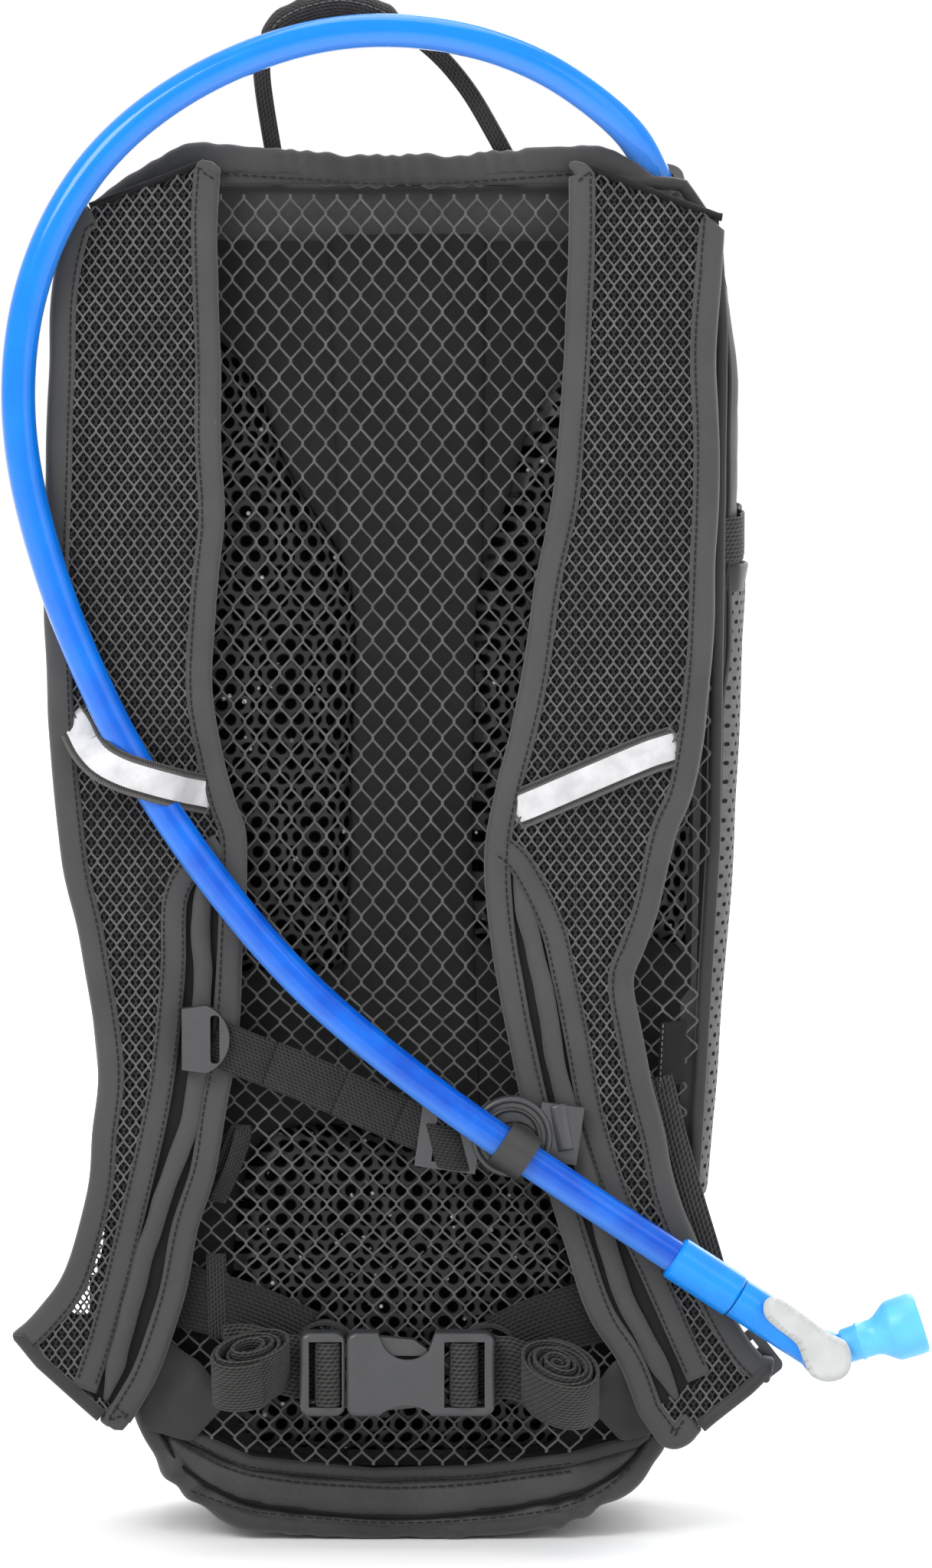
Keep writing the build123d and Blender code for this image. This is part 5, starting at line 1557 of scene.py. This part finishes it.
def coil_teeth(name, line, out, body, pitch=1.7 * MM, width=5.2 * MM):
    """Coil of a closed zip: interlocked loops across the tape."""
    points = resample(line, pitch)
    steps = tangents(points)
    verts, faces = [], []
    for index, (here, step) in enumerate(zip(points, steps)):
        across = step.cross(out).normalized()
        reach = width / 2
        for a, o in ((-reach, 0.0), (-reach * 0.9, 0.7 * MM), (reach * 0.9, 0.7 * MM), (reach, 0.0)):
            for shift in (-0.52 * MM, 0.52 * MM):
                lean = 0.25 * MM * (1 if a > 0 else -1)
                verts.append(here + across * a + out * o + step * (shift + lean))
        base = index * 8
        for k in range(3):
            a = base + 2 * k
            faces.append((a, a + 1, a + 3, a + 2))
        faces.append((base, base + 2, base + 4, base + 6))
        faces.append((base + 1, base + 7, base + 5, base + 3))
        faces.append((base, base + 6, base + 7, base + 1))
    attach(new_object(name, verts, faces, ZIP_COIL, smooth=False), body)


def zip_along(name, line, tape_y, node, width=14.5 * MM):
    """Tape on both sides, its stitching, and the coil down the middle."""
    away = Vector((0, 1, 0))
    path = at_depth(line, tape_y)
    tape = ribbon(f"{name}_tape", path, width, 1.0 * MM, ZIP_TAPE, "pack", out=away)
    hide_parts(node)
    coil_teeth(f"{name}_coil", at_depth(resample(line, 2 * MM), tape_y + 0.5 * MM), away, "pack")
    steps = tangents(path)
    for label, shift in (("a", 5.6), ("b", -5.6)):
        row = [p + Vector((-s.z, 0, s.x)) * shift * MM + away * 0.7 * MM for p, s in zip(path, steps)]
        stitch_row(f"{name}_stitches_{label}", row, "pack", STITCH, pitch=2.6 * MM, length=1.8 * MM, out=away)


ARCH = [(-72, 180 + 10 * k) for k in range(17)]
ARCH += [(-72 * cos(radians(a)), 342 + 72 * sin(radians(a))) for a in range(6, 175, 6)]
ARCH += [(72, 340 - 10 * k) for k in range(17)]
zip_along("main_zip_cloth", flat_points(ARCH), 41.2 * MM, "main_zip")
zip_along("pocket_zip_cloth", flat_points([(-38 + 4 * k, 290) for k in range(20)]), 57.2 * MM, "pocket_zip")

# panel seams across the front
for label, points in (
    ("lower", [(-66, 38), (-40, 36), (0, 35), (40, 36), (66, 38)]),
    ("upper", [(-84, 398), (-78, 409), (-50, 413), (0, 414), (50, 413), (78, 409), (84, 398)]),
):
    line = []
    for spot in resample(smooth_line([Vector((x, 46, z)) * MM for x, z in points], 6), 4 * MM):
        _, here, normal, _ = bag_shell.closest_point_on_mesh(spot)
        line.append(here + normal * 0.2 * MM)
    ribbon(f"front_seam_{label}", line, 2.4 * MM, 1.5 * MM, SHELL, "pack", out=Vector((0, 1, 0)))
    stitch_row(f"front_seam_stitches_{label}", [p + Vector((0, 0.4, -2.4)) * MM for p in line[1:-1]], "pack",
               STITCH,
               pitch=2.6 * MM, length=1.8 * MM, out=Vector((0, 1, 0)))

# ---------------------------------------------------------------- inside: reservoir
BLADDER = [
    (-66, 60), (-68, 200), (-66, 330), (-54, 362), (-30, 376), (30, 376), (54, 362), (66, 330), (68, 200),
    (66, 60), (48, 46), (-48, 46),
]
bladder = pillow(
    "reservoir_bladder_film", resample(smooth_line(flat_points(BLADDER), 5, True), 4 * MM, True),
    -6 * MM, -32.5 * MM, 22 * MM, FILM, cell=4 * MM,
    relief=uneven(0.05, 1.5 * MM, 30.0),
)
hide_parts("reservoir_bladder")
hanger = ribbon("hanger_strap_webbing", [Vector((0, -19.7, z)) * MM for z in (378.5, 395, 415, 437)], 19 * MM,
                1.3 * MM, WEB, "pack")
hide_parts("hanger_strap")

# ---------------------------------------------------------------- finishes of the hard pieces
FINISH = {
    "buckle_plug": BUCKLE, "buckle_socket": BUCKLE, "buckle_arm_upper": BUCKLE, "buckle_arm_lower": BUCKLE,
    "sternum_slider": BUCKLE, "sternum_clip": BUCKLE, "tube_band": DARK_PLASTIC, "ladder_locks": BUCKLE,
    "main_zip_slider": DARK_PLASTIC, "pocket_zip_slider": DARK_PLASTIC,
    "main_zip_pull": DARK_PLASTIC, "pocket_zip_pull": DARK_PLASTIC,
    "tube_collar": CYAN, "valve_elbow": CYAN, "valve_lever": PALE_PLASTIC, "bite_valve": SILICONE,
    "hose_port": PORT, "fill_collar": BLUE_CAP, "reservoir_cap": BLUE_CAP, "tube_link": BLUE_CAP,
    "release_button": PALE_PLASTIC, "inner_tube": TUBE, "frame_sheet": SHEET,
}
for node, finish in FINISH.items():
    mesh = frame["nodes"][node].data
    if mesh.materials:
        for index in range(len(mesh.materials)):
            mesh.materials[index] = finish
    else:
        mesh.materials.append(finish)

# ---------------------------------------------------------------- bite valve, chest-clip details
COCK = Vector((136.034, -70, 65.62)) * MM
MOUTH = Vector((cos(radians(18)), 0, sin(radians(18))))


def turned(name, start, axis, profile, material, body):
    """Solid of revolution; profile is (distance along the axis, radius) in millimetres."""
    count = 40
    axis = axis.normalized()
    across = axis.orthogonal().normalized()
    up = axis.cross(across)
    verts = []
    for far, radius in profile:
        for k in range(count):
            angle = 2 * pi * k / count
            verts.append(start + axis * far * MM + (across * cos(angle) + up * sin(angle)) * radius * MM)
    faces = ring_faces(len(profile), count)
    faces.append(tuple(range(count)))
    faces.append(tuple((len(profile) - 1) * count + k for k in range(count)))
    made = new_object(name, verts, faces, material)
    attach(made, body)
    return made


bite = turned("bite_valve_moulded", COCK, MOUTH, [
    (6.5, 4.2), (7.0, 5.2), (7.6, 5.7), (12.0, 5.8), (12.4, 6.3), (13.0, 6.3), (13.4, 5.9), (17.5, 6.0),
    (19.0, 6.6), (22.5, 9.2), (23.6, 9.9),
    (24.6, 10.1), (31.5, 10.3), (33.0, 10.0), (33.7, 9.2), (33.4, 7.4), (32.4, 5.0), (32.0, 2.0),
], SILICONE, "valve_elbow")
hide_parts("bite_valve")
ON_TUBE[ON_TUBE.index(frame["nodes"]["bite_valve"])] = bite


def ring(name, centre, radius, thick, material, body):
    count = 48
    path = [Vector(centre) * MM + Vector((radius * cos(2 * pi * k / count), 0,
                                          radius * sin(2 * pi * k / count))) * MM for k in range(count)]
    made = sweep_profile(name, path, oval(thick * MM, thick * MM, 10), flat_side, material, closed=True)
    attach(made, body)
    return made


ring("clip_ring_outer", (34.5, -65.0, 136), 12.2, 1.1, BUCKLE, "pack")
ring("clip_ring_inner", (34.5, -65.2, 136), 9.0, 0.8, DARK_PLASTIC, "pack")
barrel = [Vector((49.5, -63.4, 146.5)) * MM, Vector((50.8, -63.6, 139)) * MM,
          Vector((52.2, -63.4, 131.5)) * MM]
clip_barrel = sweep_profile("clip_rail_barrel", resample(smooth_line(barrel, 4), 1 * MM),
                            oval(3.4 * MM, 2.6 * MM, 14), flat_side, BUCKLE)
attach(clip_barrel, "pack")

LEVER = [
    (117.2, 84.6), (119.6, 85.4), (123.4, 83.8), (130.8, 78.6), (137.6, 73.4), (142.9, 70.8), (145.0, 65.2),
    (143.3, 59.7), (137.8, 57.4), (132.0, 59.2), (129.2, 64.4), (126.8, 70.0), (119.6, 75.8), (116.6, 79.2),
    (116.2, 82.4),
]
lever = pillow("valve_lever_moulded", resample(smooth_line(flat_points(LEVER), 6, True), 1.2 * MM, True),
               -76.6 * MM, -80.6 * MM, 1.3 * MM, PALE_PLASTIC, body="valve_lever", cell=1.2 * MM)
turned("valve_lever_hub", Vector((136.034, -66.2, 65.62)) * MM, Vector((0, -1, 0)),
             [(0, 4.2), (0.4, 4.8), (10.6, 4.8), (11.0, 4.4)], PALE_PLASTIC, "valve_lever")
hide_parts("valve_lever")
ON_TUBE[ON_TUBE.index(frame["nodes"]["valve_lever"])] = lever
lower_seam = [Vector((x, -50.0, z)) * MM for x, z in ((-70, 16.5), (-56, 11.5), (-42, 9.0), (0, 6.2),
                                                      (42, 9.6), (62, 15.6), (73, 24))]
stitch_row("base_lower_stitches", smooth_line(lower_seam, 8), "pack", STITCH, pitch=3.0 * MM, length=2.2 * MM,
           width=0.5 * MM)

# copies of the plug's spring arms in the buckle finish, baked in place; the arms from the model are hidden
for hand, way in (("upper", 1), ("lower", -1)):
    whole = frame["nodes"][f"buckle_arm_{hand}"]
    mesh = whole.data.copy()
    mesh.transform(whole.matrix_world)
    mesh.materials.clear()
    mesh.materials.append(BUCKLE)
    spring = bpy.data.objects.new(f"buckle_spring_arm_{hand}", mesh)
    bpy.context.scene.collection.objects.link(spring)
    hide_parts(f"buckle_arm_{hand}")
    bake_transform(spring)
